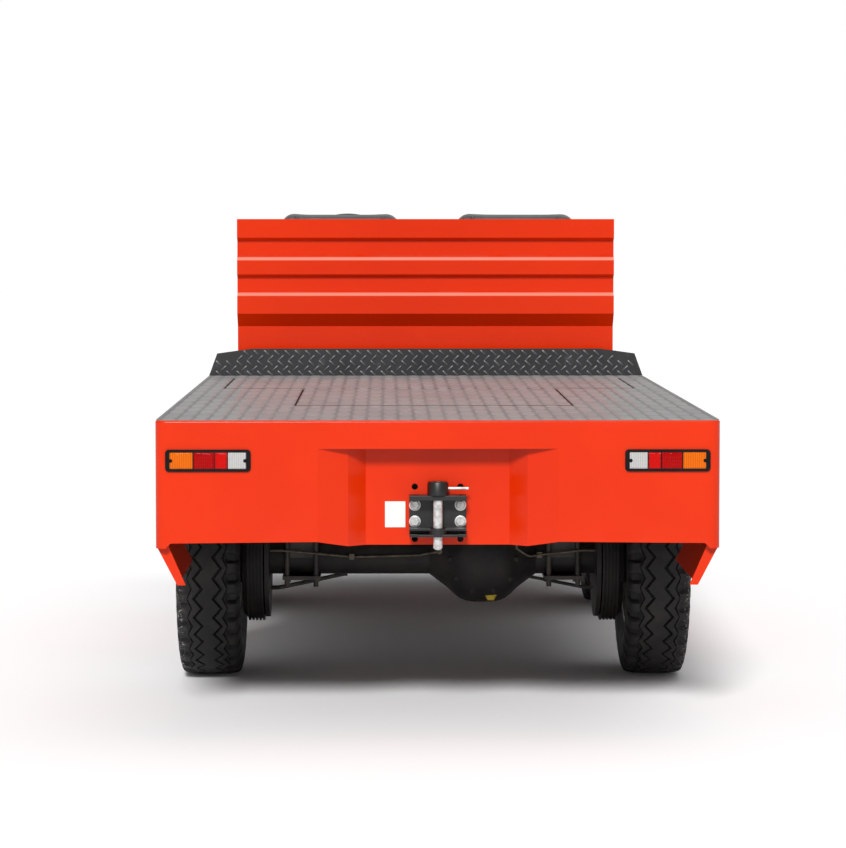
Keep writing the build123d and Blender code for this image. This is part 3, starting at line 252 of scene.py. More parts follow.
lookPlate = {
    "base": tone(228, 228, 224), "shade": tone(212, 211, 206), "patch": 14.0, "mottle": 0.6, "grain": 300.0,
    "bump": 0.0001, "rough": 0.32, "seed": 8.0, "dustUp": 0.05,
}
lookLampBody = {
    "base": tone(12, 10, 10), "shade": tone(22, 20, 20), "patch": 20.0, "mottle": 0.6, "grain": 420.0,
    "bump": 0.0002, "rough": 0.30, "seed": 9.0, "dustUp": 0.02, "dustLow": 0.0,
    "fixed": {"Specular IOR Level": 0.15},
}
lookBattery = {
    "base": tone(70, 72, 76), "shade": tone(56, 57, 60), "patch": 6.0, "mottle": 0.7, "grain": 280.0,
    "bump": 0.0004, "rough": 0.46, "seed": 10.0, "dustUp": 0.25, "dustLow": 0.15,
}
lookGrip = {
    "base": tone(30, 30, 31), "shade": tone(42, 42, 43), "patch": 18.0, "mottle": 0.6, "grain": 700.0,
    "bump": 0.0004, "rough": 0.42, "seed": 11.0, "dustUp": 0.08,
}
lookVinyl = {
    "base": tone(62, 64, 68), "shade": tone(48, 50, 54), "patch": 7.0, "mottle": 0.7, "grain": 420.0,
    "bump": 0.0010, "bumpStrength": 0.6, "rough": 0.42, "seed": 12.0, "dustUp": 0.12, "wear": 0.3,
    "worn": tone(84, 86, 90), "fixed": {"Sheen Weight": 0.15, "Sheen Roughness": 0.5},
}
lookRim = {
    "base": tone(212, 210, 204), "shade": tone(184, 180, 172), "patch": 9.0, "mottle": 0.8, "grain": 300.0,
    "bump": 0.0003, "rough": 0.36, "seed": 13.0, "dustUp": 0.15, "dustLow": 0.35, "wear": 0.25,
    "worn": tone(140, 130, 118),
}
lookLine = {
    "base": tone(112, 102, 88), "shade": tone(76, 70, 62), "patch": 40.0, "mottle": 0.9, "grain": 500.0,
    "bump": 0.0002, "rough": 0.42, "seed": 14.0, "dustLow": 0.2, "fixed": {"Metallic": 0.6},
}
lookRubberLine = {
    "base": tone(28, 28, 29), "shade": tone(48, 45, 42), "patch": 20.0, "mottle": 0.8, "grain": 300.0,
    "bump": 0.0003, "rough": 0.52, "seed": 15.0, "dustLow": 0.3,
}
lookYellow = {
    "base": tone(214, 186, 36), "shade": tone(150, 128, 30), "patch": 60.0, "mottle": 0.9, "grain": 300.0,
    "bump": 0.0006, "rough": 0.5, "seed": 16.0, "wear": 0.5, "worn": tone(60, 54, 40),
}

surfaces = {
    "body_paint": surface("bodyPaint", lookBody),
    "frame_paint": surface("framePaint", lookFrame),
    "deck_steel": surface("deckSteel", lookDeck),
    "tread_steel": surface("treadSteel", lookTread),
    "axle_casting": surface("axleCasting", lookCasting),
    "spring_steel": surface("springSteel", lookSpring),
    "zinc": surface("zinc", lookZinc),
    "plate_white": surface("plateWhite", lookPlate),
    "lamp_plastic": surface("lampBody", lookLampBody),
    "battery_case": surface("batteryCase", lookBattery),
    "grip_plastic": surface("gripPlastic", lookGrip),
    "seat_vinyl": surface("seatVinyl", lookVinyl),
    "wheel_paint": surface("wheelPaint", lookRim),
    "line_steel": surface("lineSteel", lookLine),
    "line_rubber": surface("lineRubber", lookRubberLine),
}
# Heights of the headboard's bends, each given a painted highlight line.
highlightBendHeights = (1.308, 1.176)
headboardHighlightMaterial = surface("headboardPaintHighlighted", {**lookBody, "paintedHighlightHeights": highlightBendHeights}).material
barLitMaterial = surface("deckBarsLit", lookBarLit).material
studLitMaterial = surface("kickStudsLit", lookStudLit).material
plugMaterial = surface("plugYellow", lookYellow).material


wheelX = 0.70
wheelZ = 0.375


# Tyre rubber: greyer and worn on the tread, scuffed pale at the shoulders, with dust and a fine dry grain.
def rubber(name, axleY, axleZ):
    g = Graph(name)
    across = g.axis("Y") - axleY
    height = g.axis("Z") - axleZ
    radius = (across * across + height * height).power(0.5)
    tread = radius.smooth(0.362, 0.3745)
    worn = g.noise(26.0, 5.0).smooth(0.3, 0.72)
    colour = g.mix(worn * 0.5, tone(15, 15, 16), tone(27, 26, 26))
    colour = g.mix(tread * worn * 0.4, colour, tone(52, 51, 50))
    shoulder = (g.axis("X").size() - wheelX).smooth(0.070, 0.088) * radius.smooth(0.345, 0.362)
    scuff = g.noise(120.0, 3.0, (1.0, 1.6, 1.6)).smooth(0.55, 0.66)
    colour = g.mix(shoulder * scuff * 0.8, colour, tone(170, 168, 164))
    dust = g.noise(7.0, 5.0).smooth(0.42, 0.75) * 0.12
    colour = g.mix(dust, colour, tone(98, 90, 80))
    g.feed(g.shader.inputs["Base Color"], colour)
    g.feed(g.shader.inputs["Roughness"], worn * 0.2 + 0.56)
    g.feed(g.shader.inputs["Normal"], g.bump(g.noise(260.0, 4.0), 0.0008, 0.5))
    g.shader.inputs["Specular IOR Level"].default_value = 0.35
    return g.material


# A moulded lens: gloss over a colour, with flutes as bump: the sine of the place along X over the pitch.
def lens(name, colour, deep, pitch):
    g = Graph(name)
    flutes = (g.axis("X") * (2 * math.pi / pitch)).sine()
    rows = (g.axis("Z") * (2 * math.pi / (pitch * 1.6))).sine()
    shade = (flutes * 0.5 + 0.5) * 0.45 + g.noise(60.0, 2.0) * 0.25
    g.feed(g.shader.inputs["Base Color"], g.mix(shade, colour, deep))
    g.feed(g.shader.inputs["Roughness"], g.noise(90.0, 2.0) * 0.1 + 0.08)
    g.feed(g.shader.inputs["Normal"], g.bump(flutes + rows * 0.5, 0.0008, 0.5))
    g.shader.inputs["Coat Weight"].default_value = 0.08
    g.shader.inputs["Specular IOR Level"].default_value = 0.1
    return g.material


# Mesh helpers
def makePiece(name, vertices, faces, material, body, smooth=True, sharp=None):
    mesh = bpy.data.meshes.new(name)
    faces = np.asarray(faces, dtype=np.int32)
    mesh.vertices.add(len(vertices))
    mesh.vertices.foreach_set("co", np.asarray(vertices, dtype=np.float32).ravel())
    mesh.loops.add(faces.size)
    mesh.loops.foreach_set("vertex_index", faces.ravel())
    mesh.polygons.add(len(faces))
    mesh.polygons.foreach_set("loop_start", np.arange(0, faces.size, faces.shape[1], dtype=np.int32))
    mesh.update(calc_edges=True)
    mesh.validate()
    mesh.polygons.foreach_set("use_smooth", np.full(len(mesh.polygons), smooth))
    if sharp:
        mesh.set_sharp_from_angle(angle=math.radians(sharp))
    mesh.materials.append(material)
    piece = bpy.data.objects.new(name, mesh)
    scene.collection.objects.link(piece)
    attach(piece, body)
    return piece


# Quads of an n by m grid of vertices, joined end to end where it closes.
def gridFaces(n, m, closeRows=False, closeColumns=False):
    i = np.arange(n if closeRows else n - 1)[:, None]
    j = np.arange(m if closeColumns else m - 1)[None, :]
    i2 = (i + 1) % n
    j2 = (j + 1) % m
    quads = np.stack([i * m + j, i2 * m + j, i2 * m + j2, i * m + j2], axis=-1)
    return quads.reshape(-1, 4)


# One template set at many places: each instance is the template turned about its normal, plus its place.
def repeat(template, faces, frames, places):
    count = len(places)
    turned = np.einsum("nij,vj->nvi", frames, template)
    vertices = (turned + np.asarray(places)[:, None, :]).reshape(-1, 3)
    steps = np.arange(count)[:, None, None] * len(template)
    return vertices, (np.asarray(faces)[None] + steps).reshape(-1, faces.shape[1])


# A low rounded pad: height times (1 - |u|^p)^a (1 - |v|^q)^a over its outline, and its rim dips into the plate.
def pad(width, length, height, p=2.6, q=6.0, across=9, along=15, dip=0.0006):
    u = np.sin(np.linspace(-math.pi / 2, math.pi / 2, across))
    v = np.sin(np.linspace(-math.pi / 2, math.pi / 2, along))
    gu, gv = np.meshgrid(u, v, indexing="ij")
    rise = np.clip((1 - np.abs(gu) ** p) * (1 - np.abs(gv) ** q), 0, 1) ** 0.6
    pinch = np.clip(1 - np.abs(gv) ** 4, 0.0, 1) ** 0.35
    planX = gu * width / 2 * (0.35 + 0.65 * pinch)
    grid = np.stack([planX, gv * length / 2, rise * (height + dip) - dip], axis=-1)
    return grid.reshape(-1, 3), gridFaces(across, along)


# A shape turned about an axis: each (place along the axis, radius) pair makes a ring.
def turnedShape(profile, centre, axis=0, segments=48, phase=0.0):
    profile = np.asarray(profile, dtype=float)
    angle = np.linspace(0, 2 * math.pi, segments, endpoint=False) + phase
    other = [k for k in range(3) if k != axis]
    grid = np.zeros((segments, len(profile), 3))
    grid[..., axis] = profile[None, :, 0]
    grid[..., other[0]] = np.cos(angle)[:, None] * profile[None, :, 1]
    grid[..., other[1]] = np.sin(angle)[:, None] * profile[None, :, 1]
    faces = gridFaces(segments, len(profile), closeRows=True)
    return grid.reshape(-1, 3) + np.asarray(centre), outward(grid.reshape(-1, 3), faces)


# Turns the faces round where the closed shape's signed volume is negative.
def outward(vertices, faces):
    a, b, c = (vertices[faces[:, k]] for k in (0, 1, 2))
    volume = np.einsum("ij,ij->i", a - vertices.mean(axis=0), np.cross(b - a, c - a)).sum()
    return faces if volume > 0 else faces[:, ::-1]


def joinShapes(shapes):
    vertices, faces, start = [], [], 0
    for points, quads in shapes:
        vertices.append(points)
        faces.append(quads + start)
        start += len(points)
    return np.concatenate(vertices), np.concatenate(faces)


# CAD nodes
slotOf = {row["node"]: row["material_slot"] for row in frame["record"]["subparts"]}
for name, piece in nodes.items():
    slotName = slotOf[name]
    if slotName in surfaces:
        piece.data.materials.clear()
        piece.data.materials.append(surfaces[slotName].material)
nodes["headboard"].data.materials.clear()
nodes["headboard"].data.materials.append(headboardHighlightMaterial)
print("materials set")

# Tyres
tyre = {
    "radius": 0.375, "half": 0.100, "pitches": 36, "sway": 0.0125, "groove": 0.0046, "depth": 0.012,
    "left": -0.031, "right": 0.029, "lugStart": 0.058, "lugFoot": 0.318, "notch": 0.014,
}


# Tread: the radius less 0.35 times the square of the place across, less the cuts. The grooves follow
# a triangle wave round the tyre, and rounded notches, one to each pitch, part the shoulder lugs.
def makeTyre(name, centre, body, side):
    steps = np.array([0.0, 0.1, 0.2, 0.29, 0.34, 0.41, 0.5, 0.59, 0.66, 0.71, 0.8, 0.9])
    phase = (np.arange(tyre["pitches"])[:, None] + steps[None, :]).ravel() / tyre["pitches"]
    angle = phase * 2 * math.pi
    wave = 1 - 2 * np.abs(2 * (phase * tyre["pitches"] % 1.0) - 1)
    half, w, d = tyre["half"], tyre["groove"], tyre["depth"]
    outer = [
        (0.0755, 0.2052), (0.0790, 0.2190), (0.0880, 0.2400), (0.0960, 0.2640), (0.0995, 0.2880),
        (0.0998, 0.3080), (0.0990, 0.3240), (0.0975, 0.3360), (0.0955, 0.3470), (0.0925, 0.3580),
        (0.0885, 0.3660), (0.0830, 0.3695), (0.0760, 0.3712), (0.0690, 0.3722), (0.0620, 0.3730),
    ]
    middle = []
    for line in (tyre["left"], tyre["right"]):
        middle += [(line - w - 0.0012, 0.0), (line - w, 0.001), (line - w * 0.6, d), (line + w * 0.6, d)]
        middle += [(line + w, 0.001), (line + w + 0.0012, 0.0)]
    for line in (-0.0555, 0.0555):
        middle += [(line - 0.0030, 0.0), (line - 0.0022, 0.001), (line - 0.0010, 0.008)]
        middle += [(line + 0.0010, 0.008), (line + 0.0022, 0.001), (line + 0.0030, 0.0)]
    extra = [(-0.046, 0.0), (-0.012, 0.0), (-0.001, 0.0), (0.010, 0.0), (0.046, 0.0)]
    middle = sorted(middle + extra)
    crown = [(x, tyre["radius"] - 0.35 * x * x - cut) for x, cut in middle]
    profile = np.array([(-x, r) for x, r in outer] + crown + outer[::-1])
    x = profile[:, 0][None, :].repeat(len(angle), axis=0)
    r = profile[:, 1][None, :].repeat(len(angle), axis=0)
    follow = np.clip((0.066 - np.abs(profile[:, 0])) / 0.020, 0, 1)[None, :]
    x = x + wave[:, None] * tyre["sway"] * follow
    shoulder = np.clip((np.abs(profile[:, 0]) - tyre["lugStart"]) / 0.006, 0, 1)
    shoulder = shoulder * (profile[:, 1] > tyre["lugFoot"])
    fade = np.clip((profile[:, 1] - tyre["lugFoot"]) / 0.03, 0, 1)
    for sign in (-1, 1):
        local = (phase * tyre["pitches"] + (0.5 if sign > 0 else 0.0)) % 1.0
        gap = np.clip((0.235 - np.abs(local - 0.5)) / 0.055, 0, 1)
        gap = gap * gap * (3 - 2 * gap)
        on = (np.sign(profile[:, 0]) == sign) * shoulder * fade
        r = r - gap[:, None] * on[None, :] * tyre["notch"]
        x = x - sign * gap[:, None] * on[None, :] * 0.004 * (profile[:, 1] < 0.36)[None, :]
    ridge = np.exp(-((profile[:, 1] - 0.262) / 0.0012) ** 2)[None, :] * 0.0006
    x = np.clip(x * (1 + ridge), -half, half)
    grid = np.stack([x * side, np.cos(angle)[:, None] * r, np.sin(angle)[:, None] * r], axis=-1)
    points = grid.reshape(-1, 3)
    faces = outward(points, gridFaces(len(angle), len(profile), closeRows=True, closeColumns=True))
    material = rubber("rubber_" + name, centre[1], centre[2])
    piece = makePiece("tread_" + name, points + np.asarray(centre), faces, material, body, sharp=38)
    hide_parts("tyre_" + name)


rearY = -0.939
frontY = 1.061
wheels = {
    "rear_left": (-wheelX, rearY, wheelZ), "rear_right": (wheelX, rearY, wheelZ),
    "front_left": (-wheelX, frontY, wheelZ), "front_right": (wheelX, frontY, wheelZ),
}
for name, centre in wheels.items():
    makeTyre(name, centre, "wheel_" + name, 1 if centre[0] > 0 else -1)
print("tyres made")


# Wheel nuts: a hexagonal nut with its chamfer, washer and stud end on each stud
nut = {"count": 6, "ring": 0.092, "seat": 0.0200, "across": 0.027, "height": 0.017}


def nutShapes(centre, side):
    r = nut["across"] / math.sqrt(3)
    height = nut["height"]
    washer = [(0.0, 0.0), (0.0, r * 1.22), (0.0025, r * 1.22), (0.003, r * 1.1), (0.003, 0.0)]
    hexagon = [(0.003, 0.0), (0.003, r), (height * 0.82, r), (height, r * 0.84), (height, 0.0)]
    tip = height + 0.0075
    stud = [(height, 0.0), (height, r * 0.45), (height + 0.006, r * 0.45), (tip, r * 0.36), (tip, 0)]
    shapes = []
    for profile, count in ((washer, 20), (hexagon, 6), (stud, 14)):
        turnedProfile = [(a * side, b) for a, b in profile]
        shapes.append(turnedShape(turnedProfile, centre, 0, count))
    return shapes


for name, (x, y, z) in wheels.items():
    side = 1 if x > 0 else -1
    shapes = []
    for k in range(nut["count"]):
        turn = math.radians(360 / nut["count"] * k)
        nutY, nutZ = y + nut["ring"] * math.cos(turn), z + nut["ring"] * math.sin(turn)
        shapes += nutShapes((x + side * nut["seat"], nutY, nutZ), side)
    points, faces = joinShapes(shapes)
    makePiece("wheel_nuts_" + name, points, faces, surfaces["zinc"].material, "wheel_" + name, sharp=30)
print("nuts made")

# Deck pattern: rows of long soft bars along the deck, every other row set half a step back
deck = {
    "top": 0.878, "rowPitch": 0.045, "barPitch": 0.216, "barLength": 0.200, "barWidth": 0.039,
    "barHeight": 0.0017, "half": 0.772, "rear": -2.098, "front": 0.678, "sideClear": 0.012,
    "rearClear": 0.008, "lidRearClear": 0.006, "frontClear": 0.010, "shortest": 0.03,
}
def barRuns():
    rows = int(deck["half"] / deck["rowPitch"])
    runs = {"chassis": [], "deck_hatch": [], "battery_cover": []}
    count = int((deck["front"] - deck["rear"]) / deck["barPitch"]) + 2
    for row in range(-rows, rows + 1):
        x = row * deck["rowPitch"]
        for k in range(-1, count):
            low = deck["rear"] + (k + 0.5 * (row % 2)) * deck["barPitch"]
            pieces = [(max(low, deck["rear"]), min(low + deck["barLength"], deck["front"]), "chassis")]
            for body, (half, rear, front) in lids.items():
                if abs(x) > half - deck["sideClear"]:
                    continue
                cut = []
                for a, b, owner in pieces:
                    if owner != "chassis":
                        cut.append((a, b, owner))
                        continue
                    lidRear, lidFront = rear + deck["lidRearClear"], front - deck["frontClear"]
                    cut.append((a, min(b, rear - deck["rearClear"]), "chassis"))
                    cut.append((max(a, lidRear), min(b, lidFront), body))
                    cut.append((max(a, front + deck["frontClear"]), b, "chassis"))
                pieces = cut
            for a, b, owner in pieces:
                if b - a > deck["shortest"]:
                    runs[owner].append((x, a, b))
    return runs


barGrid, barFaces = pad(1.0, 1.0, deck["barHeight"])
for body, runs in barRuns().items():
    runs = np.array(runs)
    frames = np.zeros((len(runs), 3, 3))
    frames[:, 0, 0] = deck["barWidth"]
    frames[:, 1, 1] = runs[:, 2] - runs[:, 1]
    frames[:, 2, 2] = 1.0
    middles = (runs[:, 1] + runs[:, 2]) / 2
    places = np.stack([runs[:, 0], middles, np.full(len(runs), deck["top"])], axis=-1)
    points, faces = repeat(barGrid, barFaces, frames, places)
    makePiece("deck_bars_" + body, points, faces, barLitMaterial, body)
print("deck pattern made")

# Kick plate studs: lens-shaped, in five rows that lean either way, and shorter rows under the cut corners
kick = {
    "face": 0.681, "pitch": 0.038, "rows": (0.8865, 0.9055, 0.9245, 0.9435, 0.9625), "lean": 48,
    "length": 0.029, "width": 0.0085, "height": 0.0030, "reach": 0.765, "cornerZ": 0.93,
    "cornerReach": 0.735, "cornerSlope": 2.2,
}
studGrid, studFaces = pad(kick["width"], kick["length"], kick["height"], q=2.2)
places, frames = [], []
for row, z in enumerate(kick["rows"]):
    lean = math.radians(kick["lean"] if row % 2 else -kick["lean"])
    above = z - kick["cornerZ"]
    reach = kick["reach"] if above < 0 else kick["cornerReach"] - above * kick["cornerSlope"]
    shift = 0.5 * kick["pitch"] if row % 2 else 0.0
    for x in np.arange(-reach + shift, reach, kick["pitch"]):
        places.append((x, kick["face"], z))
        c, s = math.cos(lean), math.sin(lean)
        frames.append([[c, s, 0.0], [0.0, 0.0, -1.0], [-s, c, 0.0]])
points, faces = repeat(studGrid, studFaces, np.array(frames), places)
makePiece("kick_studs", points, faces[:, ::-1], studLitMaterial, "chassis")
print("kick studs made")

# Tail lamps: four lens blocks in a row in each frame, from the outer end inwards
lamp = {
    "x": 0.650, "z": 0.765, "height": 0.047, "gap": 0.0022, "sunk": 0.002, "proud": 0.0030,
    "screws": (-0.755, -0.545, 0.545, 0.755), "screwSunk": 0.0026,
}
# Each lens by its name: its colour, its deeper colour and the pitch of its flutes.
lensLooks = {
    "amber": ((0.72, 0.15, 0.003, 1.0), (0.42, 0.05, 0.0, 1.0), 0.0062),
    "red": ((0.40, 0.0005, 0.0005, 1.0), (0.19, 0.0, 0.0, 1.0), 0.0062),
    "reflector": ((0.56, 0.002, 0.001, 1.0), (0.36, 0.001, 0.0, 1.0), 0.0040),
    "clear": ((0.50, 0.49, 0.48, 1.0), (0.28, 0.28, 0.28, 1.0), 0.0062),
}
lensOrder = (("amber", 0.068), ("red", 0.060), ("reflector", 0.037), ("clear", 0.054))


# A lens block: a rounded rectangle whose face swells by a power law towards its middle.
def lensBlock(x0, x1, z0, z1, yBack, yFace):
    u = np.sin(np.linspace(-math.pi / 2, math.pi / 2, 17))
    gu, gv = np.meshgrid(u, u, indexing="ij")
    rise = (np.clip((1 - np.abs(gu) ** 10) * (1 - np.abs(gv) ** 10), 0, 1)) ** 0.4
    grid = np.stack([
        (x0 + x1) / 2 + gu * (x1 - x0) / 2,
        yBack + (yFace - yBack) * rise,
        (z0 + z1) / 2 + gv * (z1 - z0) / 2,
    ], axis=-1)
    return grid.reshape(-1, 3), gridFaces(17, 17)


lampRear = float(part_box("tail_lamps")[0][1])
lensShapes = {key: [] for key in lensLooks}
for side in (-1, 1):
    total = sum(width for _, width in lensOrder)
    edge = lamp["x"] + total / 2
    for key, width in lensOrder:
        inner, outer = edge - width + lamp["gap"] / 2, edge - lamp["gap"] / 2
        x0, x1 = sorted((side * inner, side * outer))
        z0, z1 = lamp["z"] - lamp["height"] / 2, lamp["z"] + lamp["height"] / 2
        back, face = lampRear + lamp["sunk"], lampRear - lamp["proud"]
        lensShapes[key].append(lensBlock(x0, x1, z0, z1, back, face))
        edge -= width
for key, (colour, deep, pitch) in lensLooks.items():
    points, faces = joinShapes(lensShapes[key])
    material = lens("lens_" + key, colour, deep, pitch)
    makePiece("lens_" + key, points, faces, material, "chassis")
screw = [
    (0.0, 0.0), (0.0, 0.0052), (-0.0012, 0.0048), (-0.0014, 0.0030), (-0.0004, 0.0022), (-0.0004, 0.0),
]
screwY = lampRear - lamp["screwSunk"]
points, faces = joinShapes([turnedShape(screw, (x, screwY, lamp["z"]), 1, 20) for x in lamp["screws"]])
material = surfaces["lamp_plastic"].material
makePiece("lamp_screws", points, faces, material, "chassis", sharp=30)
print("tail lamps made")


# Bolts: hexagonal heads with a washer, which point back along Y
def boltShapes(place, across, height):
    r = across / math.sqrt(3)
    washer = [(0.0, 0.0), (0.0, r * 1.2), (0.0018, r * 1.2), (0.0022, r * 1.1), (0.0022, 0.0)]
    head = [(0.0022, 0.0), (0.0022, r), (height * 0.8, r), (height, r * 0.82), (height, 0.0)]
    shapes = []
    for profile, count in ((washer, 20), (head, 6)):
        shapes.append(turnedShape([(-a, b) for a, b in profile], place, 1, count))
    return shapes


hitch = {"face": -2.056, "boltX": 0.065, "boltZ": (0.5867, 0.6335), "pinY": -2.091, "rounding": 0.0016}
casing = {"x": 0.16, "boltRing": 0.104, "boltY": -1.0455, "boltStep": 36, "halfLength": 0.170}
couplerPlaces = [
    (side * hitch["boltX"], hitch["face"], z) for side in (-1, 1) for z in hitch["boltZ"]
]
casingPlaces = []
for angle in range(0, 360, casing["boltStep"]):
    turn = math.radians(angle)
    boltX = casing["x"] + casing["boltRing"] * math.cos(turn)
    casingPlaces.append((boltX, casing["boltY"], wheelZ + casing["boltRing"] * math.sin(turn)))
# Each set by its piece: its slot, width across the flats, height and places.
boltSets = {
    "coupler_bolts": ("zinc", 0.024, 0.011, couplerPlaces),
    "casing_bolts": ("axle_casting", 0.015, 0.008, casingPlaces),
}
for name, (slotName, across, height, places) in boltSets.items():
    points, faces = joinShapes([s for p in places for s in boltShapes(p, across, height)])
    makePiece(name, points, faces, surfaces[slotName].material, "chassis", sharp=30)
plug = [(0.0, 0.0), (0.0, 0.020), (-0.004, 0.0195), (-0.007, 0.016), (-0.0075, 0.0)]
points, faces = turnedShape(plug, (0.185, -1.0195, 0.258), 1, 6)
makePiece("casing_plug", points, faces, plugMaterial, "chassis", sharp=30)


# Casing: a smooth even curve over the swelling, a little proud of the CAD's straight-sided outline.
# The radius is a cubic in the square of the place along X.
shellPlace = np.array([0.0, 0.17, 0.34, 0.48, 0.62, 0.72])
shellRadius = np.array([0.1470, 0.1462, 0.1414, 0.1280, 0.1068, 0.0915])
curve = np.polyfit(shellPlace ** 2, shellRadius, 3)
along = np.linspace(-0.70, 0.70, 41)
profile = [(a * casing["halfLength"], float(np.polyval(curve, a * a))) for a in along]
start, end = profile[0], profile[-1]
profile = [(start[0], start[1] - 0.010)] + profile + [(end[0], end[1] - 0.010)]
points, faces = turnedShape(profile + profile[:1], (casing["x"], rearY, wheelZ), 0, 72)
material = surfaces["axle_casting"].material
makePiece("casing_shell", points, faces, material, "chassis", sharp=50)


boxQuads = np.array([(0, 1, 3, 2), (4, 6, 7, 5), (0, 4, 5, 1), (2, 3, 7, 6), (0, 2, 6, 4), (1, 5, 7, 3)])


# Blocks with rounded edges, in one piece
def makeBlocks(name, boxes, rounding, material, body, extra=()):
    shapes = list(extra)
    for x0, x1, y0, y1, z0, z1 in boxes:
        corners = np.array([(x, y, z) for x in (x0, x1) for y in (y0, y1) for z in (z0, z1)])
        shapes.append((corners, boxQuads))
    points, faces = joinShapes(shapes)
    piece = makePiece(name, points, faces, material, body, sharp=35)
    bevel = piece.modifiers.new("rounded", "BEVEL")
    bevel.width = rounding
    bevel.segments = 3
    bevel.limit_method = "ANGLE"
    bevel.angle_limit = math.radians(40)
    bevel.harden_normals = True
    return piece


# Coupler: a bolted plate, a shelf over and under the pin with a bowed lip, and the collar on top
collar = [(0.664, 0.0130), (0.664, 0.0300), (0.698, 0.0300), (0.7035, 0.0270), (0.7035, 0.0130)]
lower = [(0.5460, 0.0132), (0.5460, 0.0260), (0.5710, 0.0260), (0.5710, 0.0132)]
pinPlace = (0.0, hitch["pinY"], 0.0)
collars = [turnedShape(profile + profile[:1], pinPlace, 2, 40) for profile in (collar, lower)]
couplerBoxes = [
    (-0.0812, 0.0812, -2.0560, -2.0440, 0.5428, 0.6612),
    (-0.0812, 0.0812, -2.1100, -2.0500, 0.6500, 0.6640),
    (-0.0812, 0.0812, -2.1080, -2.0500, 0.5640, 0.5710),
    (-0.0812, 0.0812, -2.1040, -2.0500, 0.5460, 0.5540),
    (-0.0560, 0.0560, -2.1140, -2.1000, 0.5462, 0.5538),
]
material = surfaces["frame_paint"].material
coupler = makeBlocks(
    "coupler_body", couplerBoxes, hitch["rounding"], material, "chassis", collars
)
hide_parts("tow_coupler")

# The deck sheet's own edge, lying on the side skirts' flanges
sideEdge = {"x": 0.7935, "half": 0.0055, "rounding": 0.0003}
edgeBoxes = []
for side in (-1, 1):
    x0, x1 = side * sideEdge["x"] - sideEdge["half"], side * sideEdge["x"] + sideEdge["half"]
    edgeBoxes.append((x0, x1, -2.0880, 0.6805, 0.8779, 0.8788))
material = surfaces["deck_steel"].material
makeBlocks("deck_side_edges", edgeBoxes, sideEdge["rounding"], material, "chassis")
print("bolts, casing and coupler made")

# Headlamps: a bright ring and a domed clear lens on each housing
lampFront = float(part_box("headlamps")[1][1])
headlamp = {"x": 0.52, "z": 0.72, "sunk": 0.0004, "glass": 0.0675, "rise": 0.0052, "bow": 0.6, "foot": 0.0005}
glassMaterial = lens("headlamp_glass", (0.56, 0.58, 0.60, 1.0), (0.20, 0.21, 0.22, 1.0), 0.014)
ring = [
    (0.0, 0.0660), (0.0015, 0.0740), (0.0045, 0.0765), (0.0058, 0.0740), (0.0052, 0.0690), (0.0010, 0.0660),
]
reach = np.linspace(0, headlamp["glass"], 12)
dome = [(headlamp["rise"] - headlamp["bow"] * float(v) ** 2, float(v)) for v in reach]
dome += [(headlamp["foot"], headlamp["glass"]), (headlamp["foot"], 0.0)]
rings, domes = [], []
for x in (-headlamp["x"], headlamp["x"]):
    place = (x, lampFront - headlamp["sunk"], headlamp["z"])
    rings.append(turnedShape(ring, place, 1, 64))
    domes.append(turnedShape(dome, place, 1, 64))
points, faces = joinShapes(rings)
material = surfaces["zinc"].material
makePiece("headlamp_rings", points, faces, material, "chassis", sharp=40)
points, faces = joinShapes(domes)
makePiece("headlamp_lenses", points, faces, glassMaterial, "chassis", sharp=40)
print("headlamps made")

# Seats: cloth pressed out over each CAD cushion, then sewn lines pressed into it
seat = {
    "cap": 0.012, "cell": 0.009, "quickCell": 0.012, "pressure": 4.0, "steps": 20, "drop": 0.009,
    "seamWidth": 0.0045, "sideSeam": 0.66, "sideDepth": 0.0055, "crossSeams": (0.0, 0.45, -0.45),
    "crossDepth": 0.0045, "deepest": 0.006,
}
# The way each piece faces: flat for a cushion and up for a back.
seatKinds = {
    "seat_cushion_left": "flat", "seat_cushion_right": "flat",
    "seat_back_left": "up", "seat_back_right": "up",
}


def readPoints(piece):
    points = np.empty(len(piece.data.vertices) * 3)
    piece.data.vertices.foreach_get("co", points)
    return points.reshape(-1, 3)


def applyModifiers(piece):
    graph = bpy.context.evaluated_depsgraph_get()
    mesh = bpy.data.meshes.new_from_object(piece.evaluated_get(graph))
    piece.modifiers.clear()
    piece.data = mesh


# Cloth under pressure, whose way from its start is capped.
def swell(piece):
    start = readPoints(piece)
    cloth = piece.modifiers.new("swell", "CLOTH")
    cloth.settings.use_pressure = True
    cloth.settings.uniform_pressure_force = seat["pressure"]
    cloth.settings.effector_weights.gravity = 0.0
    cloth.point_cache.frame_start = 1
    cloth.point_cache.frame_end = seat["steps"]
    for step in range(1, seat["steps"] + 1):
        scene.frame_set(step)
    applyModifiers(piece)
    scene.frame_set(1)
    moved = readPoints(piece) - start
    length = np.linalg.norm(moved, axis=1, keepdims=True)
    return start + moved * np.minimum(1.0, seat["cap"] / np.maximum(length, 1e-9))


# How deep the seams press: grooves of Gaussian section along two sides and across, which don't add up.
def seamDepth(u, v, sideSpan, crossSpan):
    width = seat["seamWidth"]
    aside = np.abs(u) - seat["sideSeam"]
    depth = np.exp(-(aside * sideSpan / width) ** 2) * (np.abs(v) < 0.88) * seat["sideDepth"]
    inside = (np.abs(u) < seat["sideSeam"] + 0.01) & (np.abs(v) < 0.86)
    for line in seat["crossSeams"]:
        depth += np.exp(-((v - line) * crossSpan / width) ** 2) * inside * seat["crossDepth"]
    return np.minimum(depth, seat["deepest"])


